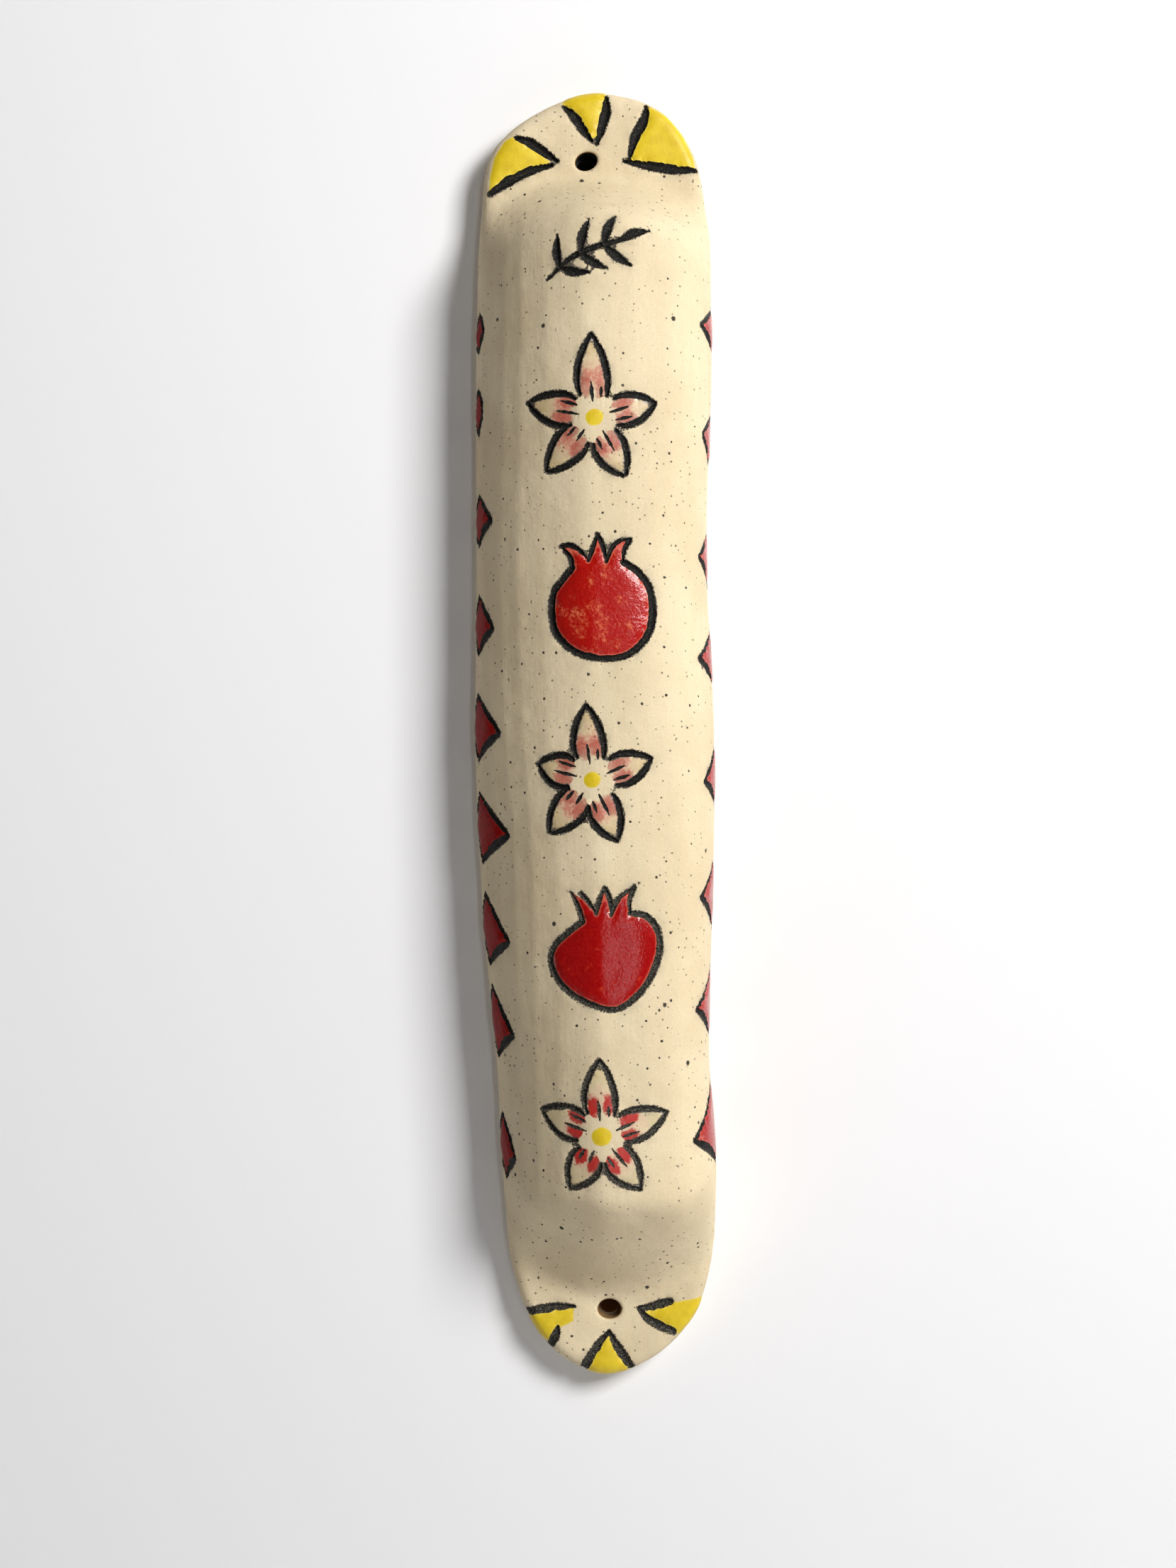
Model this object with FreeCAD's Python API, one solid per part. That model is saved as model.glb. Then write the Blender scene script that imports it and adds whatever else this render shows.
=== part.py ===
"""Hand-built ceramic mezuzah case with its rolled parchment, in millimetres.

The case hangs upright on a doorpost. +Z is up, the decorated front faces -Y and the flat
back lies in the plane y = 0. The origin is the top nail hole's axis at the back plane.
A slab of clay is draped over a former, so the back is open: a chamber runs behind the
dome, and the wrapped scroll slides in and out of it along Y.
"""
import FreeCAD, Part
import math
import os

Vector = FreeCAD.Vector

# Driving dimensions of the case
NAIL_SPACING = 148.0
NAIL_HOLE_RADIUS = 1.25
FLANGE = 4.6
DEPTH = 18.0
# The section is fuller on the right: how square its shoulder is on each side
LEFT_SHOULDER = 1.6
RIGHT_SHOULDER = 2.8
TOP_SLOPE = (-1.5, -11.5)
BOTTOM_SLOPE = (-146.5, -131.0)
TOP_TIP = (2.3, 9.1)
BOTTOM_TIP = (-0.6, -156.6)
# Height z, then the x of the left and right edges, at each place where the outline turns
OUTLINE = (
    (6.2, -6.8, 10.4),
    (1.8, -11.9, 13.5),
    (-7.0, -13.7, 15.4),
    (-20.0, -14.5, 15.6),
    (-52.0, -15.4, 14.5),
    (-80.0, -15.8, 14.9),
    (-98.0, -15.3, 14.1),
    (-115.0, -13.9, 13.5),
    (-134.0, -13.3, 14.1),
    (-143.0, -12.4, 13.0),
    (-148.3, -10.7, 11.3),
    (-153.8, -6.7, 6.5),
)
DOME_ENDS = (-7.0, -134.0)
# Sections of the front: first height, step and count, closer together where the dome bends
SECTIONS = ((12.0, -2.0, 14), (-20.0, -10.0, 11), (-126.0, -2.5, 14))
SECTION_HALF_COUNT = 8
EDGE_OVERHANG = 0.3

# Chamber behind the dome, for a scroll of 10 or 12 cm
CHAMBER_WIDTH = 17.2
CHAMBER_DEPTH = 12.8
CHAMBER_TOP = -11.5
CHAMBER_LENGTH = 122.5
CHAMBER_CORNER = 6.0

# Parchment rolled up, and the thin sleeve that protects it
PARCHMENT_SIDE = 100.0
PARCHMENT_THICKNESS = 0.25
ROLL_INNER_RADIUS = 3.4
ROLL_OUTER_RADIUS = 5.0
SLEEVE_RADIUS = 5.5
SLEEVE_THICKNESS = 0.2
SLEEVE_OVERHANG = 1.0
SCROLL_CLEARANCE = 0.3

# Decoration: slip and glaze laid into the clay
INLAY_DEPTH = 0.6
LINE = 0.9
PETAL_HALF_WIDTH = 1.35
PETAL_GAP = 1.9
# Line left at a petal's tip and root, in line widths
PETAL_TIP_LINE = 1.8
PETAL_ROOT_LINE = 0.8
FLOWER_CENTRE_RADIUS = 1.0
# Flower: its centre (x, z), then each petal's direction in degrees and length to the tip
FLOWERS = {
    "top": ((0.3, -34.9), ((91, 10.3), (164, 8.6), (226, 9.0), (297, 8.3), (12, 7.9))),
    "middle": ((-0.9, -79.7), ((94, 9.3), (162, 7.1), (231, 8.5), (291, 8.2), (19, 7.8))),
    "bottom": ((-0.6, -123.8), ((90, 9.5), (157, 8.1), (238, 7.7), (305, 8.1), (20, 8.6))),
}
# Pomegranate: centre (x, z), half width, half height, then the tips of its three crown leaves
POMEGRANATES = {
    "upper": ((0.8, -58.8), 6.3, 6.2, ((-4.2, -50.8), (0.5, -49.4), (4.4, -50.3))),
    "lower": ((0.3, -102.2), 6.9, 6.2, ((-3.9, -93.7), (0.5, -93.1), (4.1, -93.0))),
}
CROWN_LEAF_HALF_WIDTH = 0.9
CROWN_SPREAD = 2.0
CROWN_TAPER = 0.35
CROWN_TIP_LINE = 1.6
# Rays: inner and outer end (x, z) of the two lines on the sides of each yellow wedge
TOP_RAYS = (
    ((-3.8, -0.1), (-9.3, 3.1), (-4.3, -0.3), (-12.6, -4.6)),
    ((0.9, 2.6), (-2.9, 7.3), (1.4, 2.3), (2.7, 8.5)),
    ((5.7, 0.3), (7.9, 7.1), (4.9, 0.0), (14.2, -1.4)),
)
BOTTOM_RAYS = (
    ((-4.6, -147.4), (-10.0, -148.1), (-6.9, -149.9), (-7.2, -152.2)),
    ((-0.1, -150.9), (-3.3, -155.4), (-0.1, -150.9), (2.6, -155.3)),
    ((3.7, -147.8), (7.9, -147.2), (3.7, -147.8), (7.8, -150.9)),
)
RAY_WIDTHS = (0.4, 1.1)
# Diamonds on the side walls: highest and lowest centre, and how many
DIAMONDS = {"left": (-21.9, -126.9, 9), "right": (-22.3, -125.9, 8)}
DIAMOND_HEIGHT_ON_WALL = 6.9
DIAMOND_HALF_LENGTH = 4.3
DIAMOND_HALF_WIDTH = 3.9
CORNER_GROWTH = 1.4
# Sprig that marks the top of the front
SPRIG_STEM = ((-5.2, -17.4), (0.8, -13.9), (4.2, -13.0))
SPRIG_STEM_WIDTHS = (0.4, 0.9)
SPRIG_LEAF_LENGTH = 4.0
SPRIG_LEAF_HALF_WIDTH = 0.7
SPRIG_LEAF_ANGLE = 55
SPRIG_PLACES = (0.2, 0.5, 0.8)

# Planes clear of the case, where prisms start
FRONT = -30.0
SIDE = 30.0
SAME_LENGTH = 1e-6


def smooth_step(value):
    """Ease from 0 to 1."""
    value = min(max(value, 0.0), 1.0)
    return value * value * (3 - 2 * value)


def share(value, start, end):
    """How far value lies from start to end, as a share of the way."""
    return (value - start) / (end - start)


def spine_height(z):
    """Distance of the dome's crest from the back plane."""
    top = smooth_step(share(z, *TOP_SLOPE))
    bottom = smooth_step(share(z, *BOTTOM_SLOPE))
    return FLANGE + (DEPTH - FLANGE) * min(top, bottom)


def edges_at(z):
    """The left and right edge of the dome's section, a little outside the outline."""
    z = max(min(z, DOME_ENDS[0]), DOME_ENDS[1])
    for above, below in zip(OUTLINE, OUTLINE[1:]):
        if above[0] >= z >= below[0]:
            part = share(z, above[0], below[0])
            left = above[1] + part * (below[1] - above[1])
            right = above[2] + part * (below[2] - above[2])
    return left - EDGE_OVERHANG, right + EDGE_OVERHANG


def front_face():
    """The front as one smooth surface over the whole outline."""
    heights = [first + step * index for first, step, count in SECTIONS for index in range(count)]
    quarter_turn = math.pi / 2
    rows = []
    for z in heights:
        left, right = edges_at(z)
        middle = (left + right) / 2
        half_width = (right - left) / 2
        row = []
        for step in range(-SECTION_HALF_COUNT, SECTION_HALF_COUNT + 1):
            across = math.sin(quarter_turn * step / SECTION_HALF_COUNT)
            shoulder = LEFT_SHOULDER if across < 0 else RIGHT_SHOULDER
            arch = (1 - abs(across) ** shoulder) ** (1 / shoulder)
            height = FLANGE + (spine_height(z) - FLANGE) * arch
            row.append(Vector(middle + half_width * across, -height, z))
        rows.append(row)
    surface = Part.BSplineSurface()
    surface.interpolate(rows)
    return surface.toShape()


def flat_point(x, z):
    """A point of a motif, drawn on a plane in front of the case."""
    return Vector(x, FRONT, z)


def through_front(wire):
    """Prism behind a closed wire of the drawing plane, as far as the back plane."""
    return Part.Face(wire).extrude(Vector(0, -FRONT, 0))


def polygon(points):
    """Prism behind a polygon with corners (x, z)."""
    corners = [flat_point(x, z) for x, z in points]
    return through_front(Part.makePolygon(corners + corners[:1]))


def fused(solids):
    """One solid from several that overlap."""
    return solids[0].fuse(solids[1:]).removeSplitter()


def outline_prism():
    """The case's outline seen from the front, as a straight prism."""
    left = [Vector(row[1], 0, row[0]) for row in OUTLINE]
    right = [Vector(row[2], 0, row[0]) for row in reversed(OUTLINE)]
    tip = Vector(TOP_TIP[0], 0, TOP_TIP[1])
    foot = Vector(BOTTOM_TIP[0], 0, BOTTOM_TIP[1])
    curve = Part.BSplineCurve()
    curve.interpolate([tip] + left + [foot] + right, PeriodicFlag=True)
    face = Part.Face(Part.Wire(curve.toShape()))
    return face.extrude(Vector(0, FRONT, 0))


def nail_hole(z):
    """Straight hole through a flange."""
    return Part.makeCylinder(NAIL_HOLE_RADIUS, -2 * FRONT, Vector(0, FRONT, z), Vector(0, 1, 0))


def chamber():
    """The space left by the former: flat at the back, rounded along its inner corners."""
    half = CHAMBER_WIDTH / 2
    block = Part.makeBox(
        CHAMBER_WIDTH, CHAMBER_DEPTH + 1, CHAMBER_LENGTH,
        Vector(-half, -CHAMBER_DEPTH, CHAMBER_TOP - CHAMBER_LENGTH),
    )
    inner_edges = [
        edge for edge in block.Edges
        if all(abs(vertex.Y + CHAMBER_DEPTH) < SAME_LENGTH for vertex in edge.Vertexes)
        and abs(edge.Length - CHAMBER_LENGTH) < SAME_LENGTH
    ]
    return block.makeFillet(CHAMBER_CORNER, inner_edges)


def lens(start, end, half_width):
    """Pointed oval between two points (x, z), with two arcs as its sides."""
    first, last = flat_point(*start), flat_point(*end)
    middle = (first + last) * 0.5
    along = last - first
    across = Vector(along.z, 0, -along.x).normalize() * half_width
    sides = [
        Part.Arc(first, middle + across, last).toShape(),
        Part.Arc(last, middle - across, first).toShape(),
    ]
    return through_front(Part.Wire(sides))


def stroke(start, end, width_at_start, width_at_end):
    """Straight line that changes width from one end to the other."""
    length = math.hypot(end[0] - start[0], end[1] - start[1])
    across_x = (end[1] - start[1]) / length / 2
    across_z = (start[0] - end[0]) / length / 2
    corners = []
    for point, width in ((start, width_at_start), (end, width_at_end)):
        pair = [(point[0] + side * across_x * width, point[1] + side * across_z * width)
                for side in (-1, 1)]
        corners += pair if point is start else reversed(pair)
    return polygon(corners)


def polar(centre, degrees, distance):
    """Point (x, z) at a direction and distance from a centre."""
    angle = math.radians(degrees)
    return centre[0] + distance * math.cos(angle), centre[1] + distance * math.sin(angle)


def flower(centre, petals):
    """Outline, petals and yellow centre of one flower."""
    heart = Part.makeCylinder(FLOWER_CENTRE_RADIUS, -FRONT, flat_point(*centre), Vector(0, 1, 0))
    washes = []
    rims = []
    for direction, length in petals:
        inner = polar(centre, direction, PETAL_GAP)
        tip = polar(centre, direction, length)
        wash_end = polar(centre, direction, length - PETAL_TIP_LINE * LINE)
        wash_start = polar(centre, direction, PETAL_GAP + PETAL_ROOT_LINE * LINE)
        washes.append(lens(wash_start, wash_end, PETAL_HALF_WIDTH))
        rims.append(lens(inner, tip, PETAL_HALF_WIDTH + LINE))
    outline = fused(rims).cut(washes + [heart])
    return outline, Part.Compound(washes), heart


def pomegranate_shape(centre, half_width, half_height, tips, line):
    """Oval body with three crown leaves, taken in all round by a line's width."""
    oval = Part.Ellipse(flat_point(*centre), half_width - line, half_height - line)
    oval.Axis = Vector(0, 1, 0)
    oval.XAxis = Vector(1, 0, 0)
    pieces = [through_front(Part.Wire(oval.toShape()))]
    width = 2 * (CROWN_LEAF_HALF_WIDTH + LINE - line)
    for place, tip in zip((-1, 0, 1), tips):
        root = (centre[0] + place * CROWN_SPREAD, centre[1] + half_height / 2)
        reach = math.hypot(tip[0] - root[0], tip[1] - root[1])
        kept = 1 - CROWN_TIP_LINE * line / reach
        end = (root[0] + (tip[0] - root[0]) * kept, root[1] + (tip[1] - root[1]) * kept)
        pieces.append(stroke(root, end, width, CROWN_TAPER * width))
    return fused(pieces)


def pomegranate(centre, half_width, half_height, tips):
    """Outline and glazed inside of one pomegranate."""
    glaze = pomegranate_shape(centre, half_width, half_height, tips, LINE)
    whole = pomegranate_shape(centre, half_width, half_height, tips, 0.0)
    return whole.cut(glaze), glaze


def rays(wedges):
    """Black lines and yellow wedges of one end of the case."""
    lines = []
    glazes = []
    for first_in, first_out, second_in, second_out in wedges:
        pair = [stroke(first_in, first_out, *RAY_WIDTHS), stroke(second_in, second_out, *RAY_WIDTHS)]
        corners = [first_in, first_out, second_out]
        if second_in != first_in:
            corners.append(second_in)
        glazes.append(polygon(corners).cut(pair))
        lines.append(fused(pair))
    return Part.Compound(lines), Part.Compound(glazes)


def diamond(sign, z, line):
    """Prism from the side into the case behind a diamond, grown by a line's width."""
    length = DIAMOND_HALF_LENGTH + CORNER_GROWTH * line
    width = DIAMOND_HALF_WIDTH + CORNER_GROWTH * line
    x = sign * SIDE
    y = -DIAMOND_HEIGHT_ON_WALL
    corners = [
        Vector(x, y, z + length), Vector(x, y + width, z),
        Vector(x, y, z - length), Vector(x, y - width, z),
    ]
    return Part.Face(Part.makePolygon(corners + corners[:1])).extrude(Vector(-x, 0, 0))


def diamonds(sign, first, last, count):
    """Outlines and glazed insides of the diamonds on one side wall."""
    outlines = []
    insides = []
    for index in range(count):
        z = first + (last - first) * index / (count - 1)
        inside = diamond(sign, z, 0.0)
        insides.append(inside)
        outlines.append(diamond(sign, z, LINE).cut(inside))
    return Part.Compound(outlines), Part.Compound(insides)


def sprig():
    """Arched stem with leaves on both sides and one at its end."""
    start, middle, end = SPRIG_STEM
    heading = math.degrees(math.atan2(end[1] - start[1], end[0] - start[0]))
    stem = Part.BSplineCurve()
    stem.interpolate([flat_point(*start), flat_point(*middle), flat_point(*end)])
    halves = [stroke(start, middle, *SPRIG_STEM_WIDTHS), stroke(end, middle, *SPRIG_STEM_WIDTHS)]
    last_root = polar(end, heading + 180, LINE)
    leaves = [lens(last_root, polar(end, heading, SPRIG_LEAF_LENGTH), SPRIG_LEAF_HALF_WIDTH)]
    for place in SPRIG_PLACES:
        where = stem.value(stem.parameterAtDistance(place * stem.length()))
        root = (where.x, where.z)
        for turn in (SPRIG_LEAF_ANGLE, -SPRIG_LEAF_ANGLE):
            tip = polar(root, heading + turn, SPRIG_LEAF_LENGTH)
            leaves.append(lens(root, tip, SPRIG_LEAF_HALF_WIDTH))
    return fused(halves + leaves)


def parchment_scroll(z_foot):
    """Parchment rolled into a spiral round an empty core."""
    turns = PARCHMENT_SIDE / (math.pi * (ROLL_INNER_RADIUS + ROLL_OUTER_RADIUS))
    steps_per_turn = 16
    count = round(turns * steps_per_turn)

    def spiral(offset):
        points = []
        for step in range(count + 1):
            angle = 2 * math.pi * turns * step / count
            growth = (ROLL_OUTER_RADIUS - ROLL_INNER_RADIUS) * step / count
            radius = ROLL_INNER_RADIUS + growth + offset
            points.append(Vector(radius * math.cos(angle), radius * math.sin(angle), 0))
        curve = Part.BSplineCurve()
        curve.interpolate(points)
        return curve.toShape(), points[0], points[-1]

    inner, inner_start, inner_end = spiral(-PARCHMENT_THICKNESS / 2)
    outer, outer_start, outer_end = spiral(PARCHMENT_THICKNESS / 2)
    ends = [Part.makeLine(inner_start, outer_start), Part.makeLine(inner_end, outer_end)]
    wire = Part.Wire(Part.__sortEdges__([inner, ends[1], outer, ends[0]]))
    roll = Part.Face(wire).extrude(Vector(0, 0, PARCHMENT_SIDE))
    roll.translate(Vector(0, -CHAMBER_DEPTH / 2, z_foot + SLEEVE_OVERHANG))
    return roll


def scroll_wrap(z_foot):
    """Thin sleeve round the parchment."""
    length = PARCHMENT_SIDE + 2 * SLEEVE_OVERHANG
    foot = Vector(0, -CHAMBER_DEPTH / 2, z_foot)
    outside = Part.makeCylinder(SLEEVE_RADIUS, length, foot)
    return outside.cut(Part.makeCylinder(SLEEVE_RADIUS - SLEEVE_THICKNESS, length, foot))


def build():
    """All the nodes by name."""
    front = front_face()
    dome = front.extrude(Vector(0, -FRONT, 0))
    block = dome.common(outline_prism())
    inner_dome = dome.translated(Vector(0, INLAY_DEPTH, 0))

    motifs = {}
    for name, (centre, petals) in FLOWERS.items():
        outline, washes, heart = flower(centre, petals)
        motifs[f"flower_{name}_outline"] = outline
        motifs[f"flower_{name}_petals"] = washes
        motifs[f"flower_{name}_centre"] = heart
    for name, sizes in POMEGRANATES.items():
        outline, glaze = pomegranate(*sizes)
        motifs[f"pomegranate_{name}_outline"] = outline
        motifs[f"pomegranate_{name}_glaze"] = glaze
    for name, wedges in (("top", TOP_RAYS), ("bottom", BOTTOM_RAYS)):
        lines, glazes = rays(wedges)
        motifs[f"{name}_ray_lines"] = lines
        motifs[f"{name}_ray_glaze"] = glazes
    motifs["top_sprig"] = sprig()

    nodes = {}
    pockets = []
    for name, motif in motifs.items():
        pocket = motif.cut(inner_dome)
        pockets.append(pocket)
        nodes[name] = pocket.common(block)
    for name, sign in (("left", -1), ("right", 1)):
        outlines, insides = diamonds(sign, *DIAMONDS[name])
        inner_block = block.translated(Vector(-sign * INLAY_DEPTH, 0, 0))
        for kind, motif in (("outlines", outlines), ("glaze", insides)):
            pocket = motif.cut(inner_block)
            pockets.append(pocket)
            nodes[f"{name}_diamond_{kind}"] = pocket.common(block)

    holes = [nail_hole(0), nail_hole(-NAIL_SPACING)]
    nodes["case_shell"] = block.cut(pockets + holes + [chamber()])
    scroll_foot = CHAMBER_TOP - CHAMBER_LENGTH + SCROLL_CLEARANCE
    nodes["parchment_scroll"] = parchment_scroll(scroll_foot)
    nodes["scroll_wrap"] = scroll_wrap(scroll_foot)
    return nodes


def export(nodes):
    """Write one STEP file per node and report each node's solids."""
    os.makedirs("parts", exist_ok=True)
    for name, shape in nodes.items():
        solids = shape.Solids
        whole = solids[0] if len(solids) == 1 else Part.Compound(solids)
        whole.exportStep(f"parts/{name}.step")
        print(f"{name}: {len(solids)} solids, valid {whole.isValid()}, {whole.Volume:.1f} mm3")


export(build())
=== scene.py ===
"""Looks of the hand-built ceramic mezuzah case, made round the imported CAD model.

The decorated front is drawn on a flat sheet, in millimetres. The sheet covers the dome and
its side walls: across it lies the length along the surface from the case's middle line, and
past the nail holes it is the length from the hole. The drawing is triangulated once and bent
over the dome, so the clay and the slips and glazes laid into it share their edges.
"""
import math

import bmesh
import bpy
import numpy as np
from mathutils import Matrix, Vector, geometry, kdtree, noise


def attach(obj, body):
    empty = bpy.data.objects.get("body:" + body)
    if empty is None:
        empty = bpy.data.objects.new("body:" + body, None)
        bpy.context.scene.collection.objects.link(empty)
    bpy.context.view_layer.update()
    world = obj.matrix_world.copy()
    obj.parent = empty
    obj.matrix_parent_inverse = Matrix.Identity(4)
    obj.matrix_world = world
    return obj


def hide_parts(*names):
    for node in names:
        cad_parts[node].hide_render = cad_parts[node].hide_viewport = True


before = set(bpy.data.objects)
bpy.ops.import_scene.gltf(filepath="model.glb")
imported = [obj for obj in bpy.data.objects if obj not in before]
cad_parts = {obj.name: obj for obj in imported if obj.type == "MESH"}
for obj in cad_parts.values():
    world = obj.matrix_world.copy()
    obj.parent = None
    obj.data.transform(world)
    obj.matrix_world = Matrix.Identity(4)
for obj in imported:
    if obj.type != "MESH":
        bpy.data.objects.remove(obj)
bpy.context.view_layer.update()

MM = 0.001

# The case, with the same driving sizes as its CAD model
NAIL_SPACING = 148.0
FLANGE = 4.6
DEPTH = 18.0
LEFT_SHOULDER = 1.6
RIGHT_SHOULDER = 2.8
TOP_SLOPE = (-1.5, -11.5)
BOTTOM_SLOPE = (-147.5, -133.5)
TOP_BOW = 4.0
BOTTOM_BOW = 5.0
TOP_TIP = (2.3, 9.0)
BOTTOM_TIP = (-0.6, -156.5)
# Height z, then the x of the left and right edges
OUTLINE = (
    (6.2, -6.8, 10.4),
    (1.8, -11.9, 13.5),
    (-7.0, -13.7, 15.4),
    (-20.0, -14.5, 15.6),
    (-52.0, -15.4, 14.5),
    (-80.0, -15.8, 14.9),
    (-98.0, -15.3, 14.1),
    (-115.0, -13.9, 13.5),
    (-134.0, -13.3, 14.1),
    (-143.0, -12.4, 13.0),
    (-148.3, -10.7, 11.3),
    (-153.8, -6.7, 6.5),
)
# Flat cuts that shape the dome's lower end: height at (x, z), then its rise along x and z
FOOT_CUTS = (
    (4.6, -1.0, -146.8, 0.55, 0.92),
    (4.6, -1.0, -146.8, -0.10, 0.97),
)
CUT_SOFTNESS = 0.55
# Before any cut, the knife is this far above the dome
CLEAR_OF_CUTS = 2.0
FRONT_EDGE_RADIUS = 1.5
BACK_EDGE_RADIUS = 0.5

# Chamber for the scroll
CHAMBER_HALF_WIDTH = 8.6
CHAMBER_DEPTH = 12.8
CHAMBER_TOP = -11.5
CHAMBER_FOOT = -134.0
CHAMBER_CORNER = 6.0
CHAMBER_END_RADIUS = 0.5
CHAMBER_PLAN_RADIUS = 2.2
LIP = 0.8
# Points of the chamber's loops: round a corner, along an end and a side, and down its wall
CHAMBER_TURN_POINTS = 7
CHAMBER_STRAIGHT_STEPS = (10, 80, 10, 80)
LIP_STEPS = 5
CEILING_STEPS = 10
CHAMBER_WALL_DEPTHS = (2.0, 3.5, 5.0, 6.5)

# Spacing of points: on the outline, on the bare sheet and along drawn lines
OUTLINE_SPACING = 0.4
MESH_SPACING = 0.55
LINE_SPACING = 0.28
CLEAR_OF_LINES = 0.28
# How far the edge's tables run past the nail holes
TABLE_OVERLAP = 3.0
# Points of each ray's section over the front, then steps down the wall and round the back edge
FRONT_POINTS = 72
WALL_STEPS = 3
TURN_STEPS = 8
# Rays to the sheet's rim, round each end and down each side, and how far out they are tried
CAP_RAYS = 84
SIDE_RAYS = 260
PROBE = 0.01
# Places that are worked on together, to spare memory
PLACES_AT_ONCE = 4000
TINY = 1e-9

# Slips and glazes
INLAY_THICKNESS = 0.15
SEED = Vector((3.7, 9.1, 5.3))


def ease(value):
    """Ease from 0 to 1."""
    value = np.clip(value, 0.0, 1.0)
    return value * value * (3 - 2 * value)


def share(value, start, end):
    """How far value lies from start to end, as a share of the way."""
    return (value - start) / (end - start)


def wobble(places, scale, shift=0.0):
    """Smooth noise from -1 to 1 at places on the sheet, with features about scale long."""
    return np.array([
        noise.noise(Vector((place[0] / scale, place[1] / scale, shift)) + SEED) for place in places
    ])


def smooth_curve(points, spacing, closed=False):
    """Places about spacing apart on a smooth curve through the points."""
    points = np.array(points, float)
    if closed:
        points = np.vstack([points[-1:], points, points[:2]])
    else:
        points = np.vstack([2 * points[0] - points[1], points, 2 * points[-1] - points[-2]])
    chords = np.diff(points, axis=0)
    lengths = np.hypot(chords[:, 0], chords[:, 1])[:, None]
    slopes = chords / lengths
    before, after = lengths[:-1], lengths[1:]
    tangents = (after * slopes[:-1] + before * slopes[1:]) / (before + after)
    places = []
    for index in range(1, len(points) - 2):
        length = lengths[index, 0]
        count = max(2, round(length / spacing))
        step = (np.arange(count) / count)[:, None]
        start_slope, end_slope = tangents[index - 1] * length, tangents[index] * length
        places.append(
            (2 * step**3 - 3 * step**2 + 1) * points[index]
            + (step**3 - 2 * step**2 + step) * start_slope
            + (3 * step**2 - 2 * step**3) * points[index + 1]
            + (step**3 - step**2) * end_slope
        )
    if not closed:
        places.append(points[-2:-1])
    return np.vstack(places)


# ---------------------------------------------------------------- The sheet and the dome

def outline_curve():
    """The case's outline, seen from the front."""
    left = [(row[1], row[0]) for row in OUTLINE]
    right = [(row[2], row[0]) for row in reversed(OUTLINE)]
    return smooth_curve([TOP_TIP] + left + [BOTTOM_TIP] + right, OUTLINE_SPACING, closed=True)


OUTLINE_CURVE = outline_curve()


def by_key(keys, values):
    """Interpolation table with its keys in rising order."""
    order = np.argsort(keys)
    return keys[order], values[order]


def side_table(sign):
    """Distance of one side's edge from the middle line, by height."""
    side = OUTLINE_CURVE[OUTLINE_CURVE[:, 0] * sign > 0]
    body = side[(side[:, 1] < TABLE_OVERLAP) & (side[:, 1] > -NAIL_SPACING - TABLE_OVERLAP)]
    return by_key(body[:, 1], np.abs(body[:, 0]))


def cap_table(hole_z, sign):
    """Distance of the edge from a nail hole, by direction."""
    rise = (OUTLINE_CURVE[:, 1] - hole_z) * sign
    cap = rise > -TABLE_OVERLAP
    angle = np.arctan2(rise[cap], OUTLINE_CURVE[cap, 0])
    return by_key(np.where(angle < -math.pi / 2, angle + 2 * math.pi, angle),
                  np.hypot(OUTLINE_CURVE[cap, 0], rise[cap]))


SIDES = {-1: side_table(-1), 1: side_table(1)}
CAPS = {1: cap_table(0.0, 1), -1: cap_table(-NAIL_SPACING, -1)}


def rays(across, along):
    """The ray on which each place lies: its start's z, its direction, and the edge's distance."""
    above, below = along > 0, along < -NAIL_SPACING
    start_z = np.where(above, 0.0, np.where(below, -NAIL_SPACING, along))
    rise = along - start_z
    reach = np.where(across < 0, np.interp(along, *SIDES[-1]), np.interp(along, *SIDES[1]))
    direction_x = np.where(across < 0, -1.0, 1.0)
    direction_z = np.zeros_like(across)
    for cap, sign in ((above, 1), (below, -1)):
        distance = np.maximum(np.hypot(across[cap], rise[cap]), TINY)
        angle = np.arctan2(rise[cap] * sign, across[cap])
        reach[cap] = np.interp(angle, *CAPS[sign])
        direction_x[cap] = across[cap] / distance
        direction_z[cap] = rise[cap] / distance
    return start_z, direction_x, direction_z, reach


def soft_lower(first, second, softness):
    """The lower of two heights, with the edge between them a little rounded."""
    lower = np.minimum(first, second)
    return lower - softness * np.log1p(np.exp(-np.abs(first - second) / softness))


def foot_cuts(x, z):
    """Height that the knife left at the dome's lower end."""
    height = np.full(np.broadcast(x, z).shape, DEPTH + CLEAR_OF_CUTS)
    for start, middle_x, middle_z, rise_x, rise_z in FOOT_CUTS:
        plane = start + rise_x * (x - middle_x) + rise_z * (z - middle_z)
        height = soft_lower(height, plane, CUT_SOFTNESS)
    return -soft_lower(-height, np.full(height.shape, -FLANGE), CUT_SOFTNESS)


def front_height(x, z, out, reach):
    """Height of the front above the back plane, at a share out of the way to the edge."""
    top = ease(share(z + TOP_BOW * out**2, *TOP_SLOPE))
    foot = ease(share(z - BOTTOM_BOW * out**2, *BOTTOM_SLOPE))
    shoulder = np.where(x < 0, LEFT_SHOULDER, RIGHT_SHOULDER)
    arch = np.maximum(1 - out**shoulder, 0) ** (1 / shoulder)
    to_edge = np.clip(FRONT_EDGE_RADIUS - reach * (1 - out), 0, FRONT_EDGE_RADIUS)
    rounding = FRONT_EDGE_RADIUS - np.sqrt(FRONT_EDGE_RADIUS**2 - to_edge**2)
    smooth = FLANGE + (DEPTH - FLANGE) * np.minimum(top, foot) * arch
    return soft_lower(smooth, foot_cuts(x, z), CUT_SOFTNESS) - rounding


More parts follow.
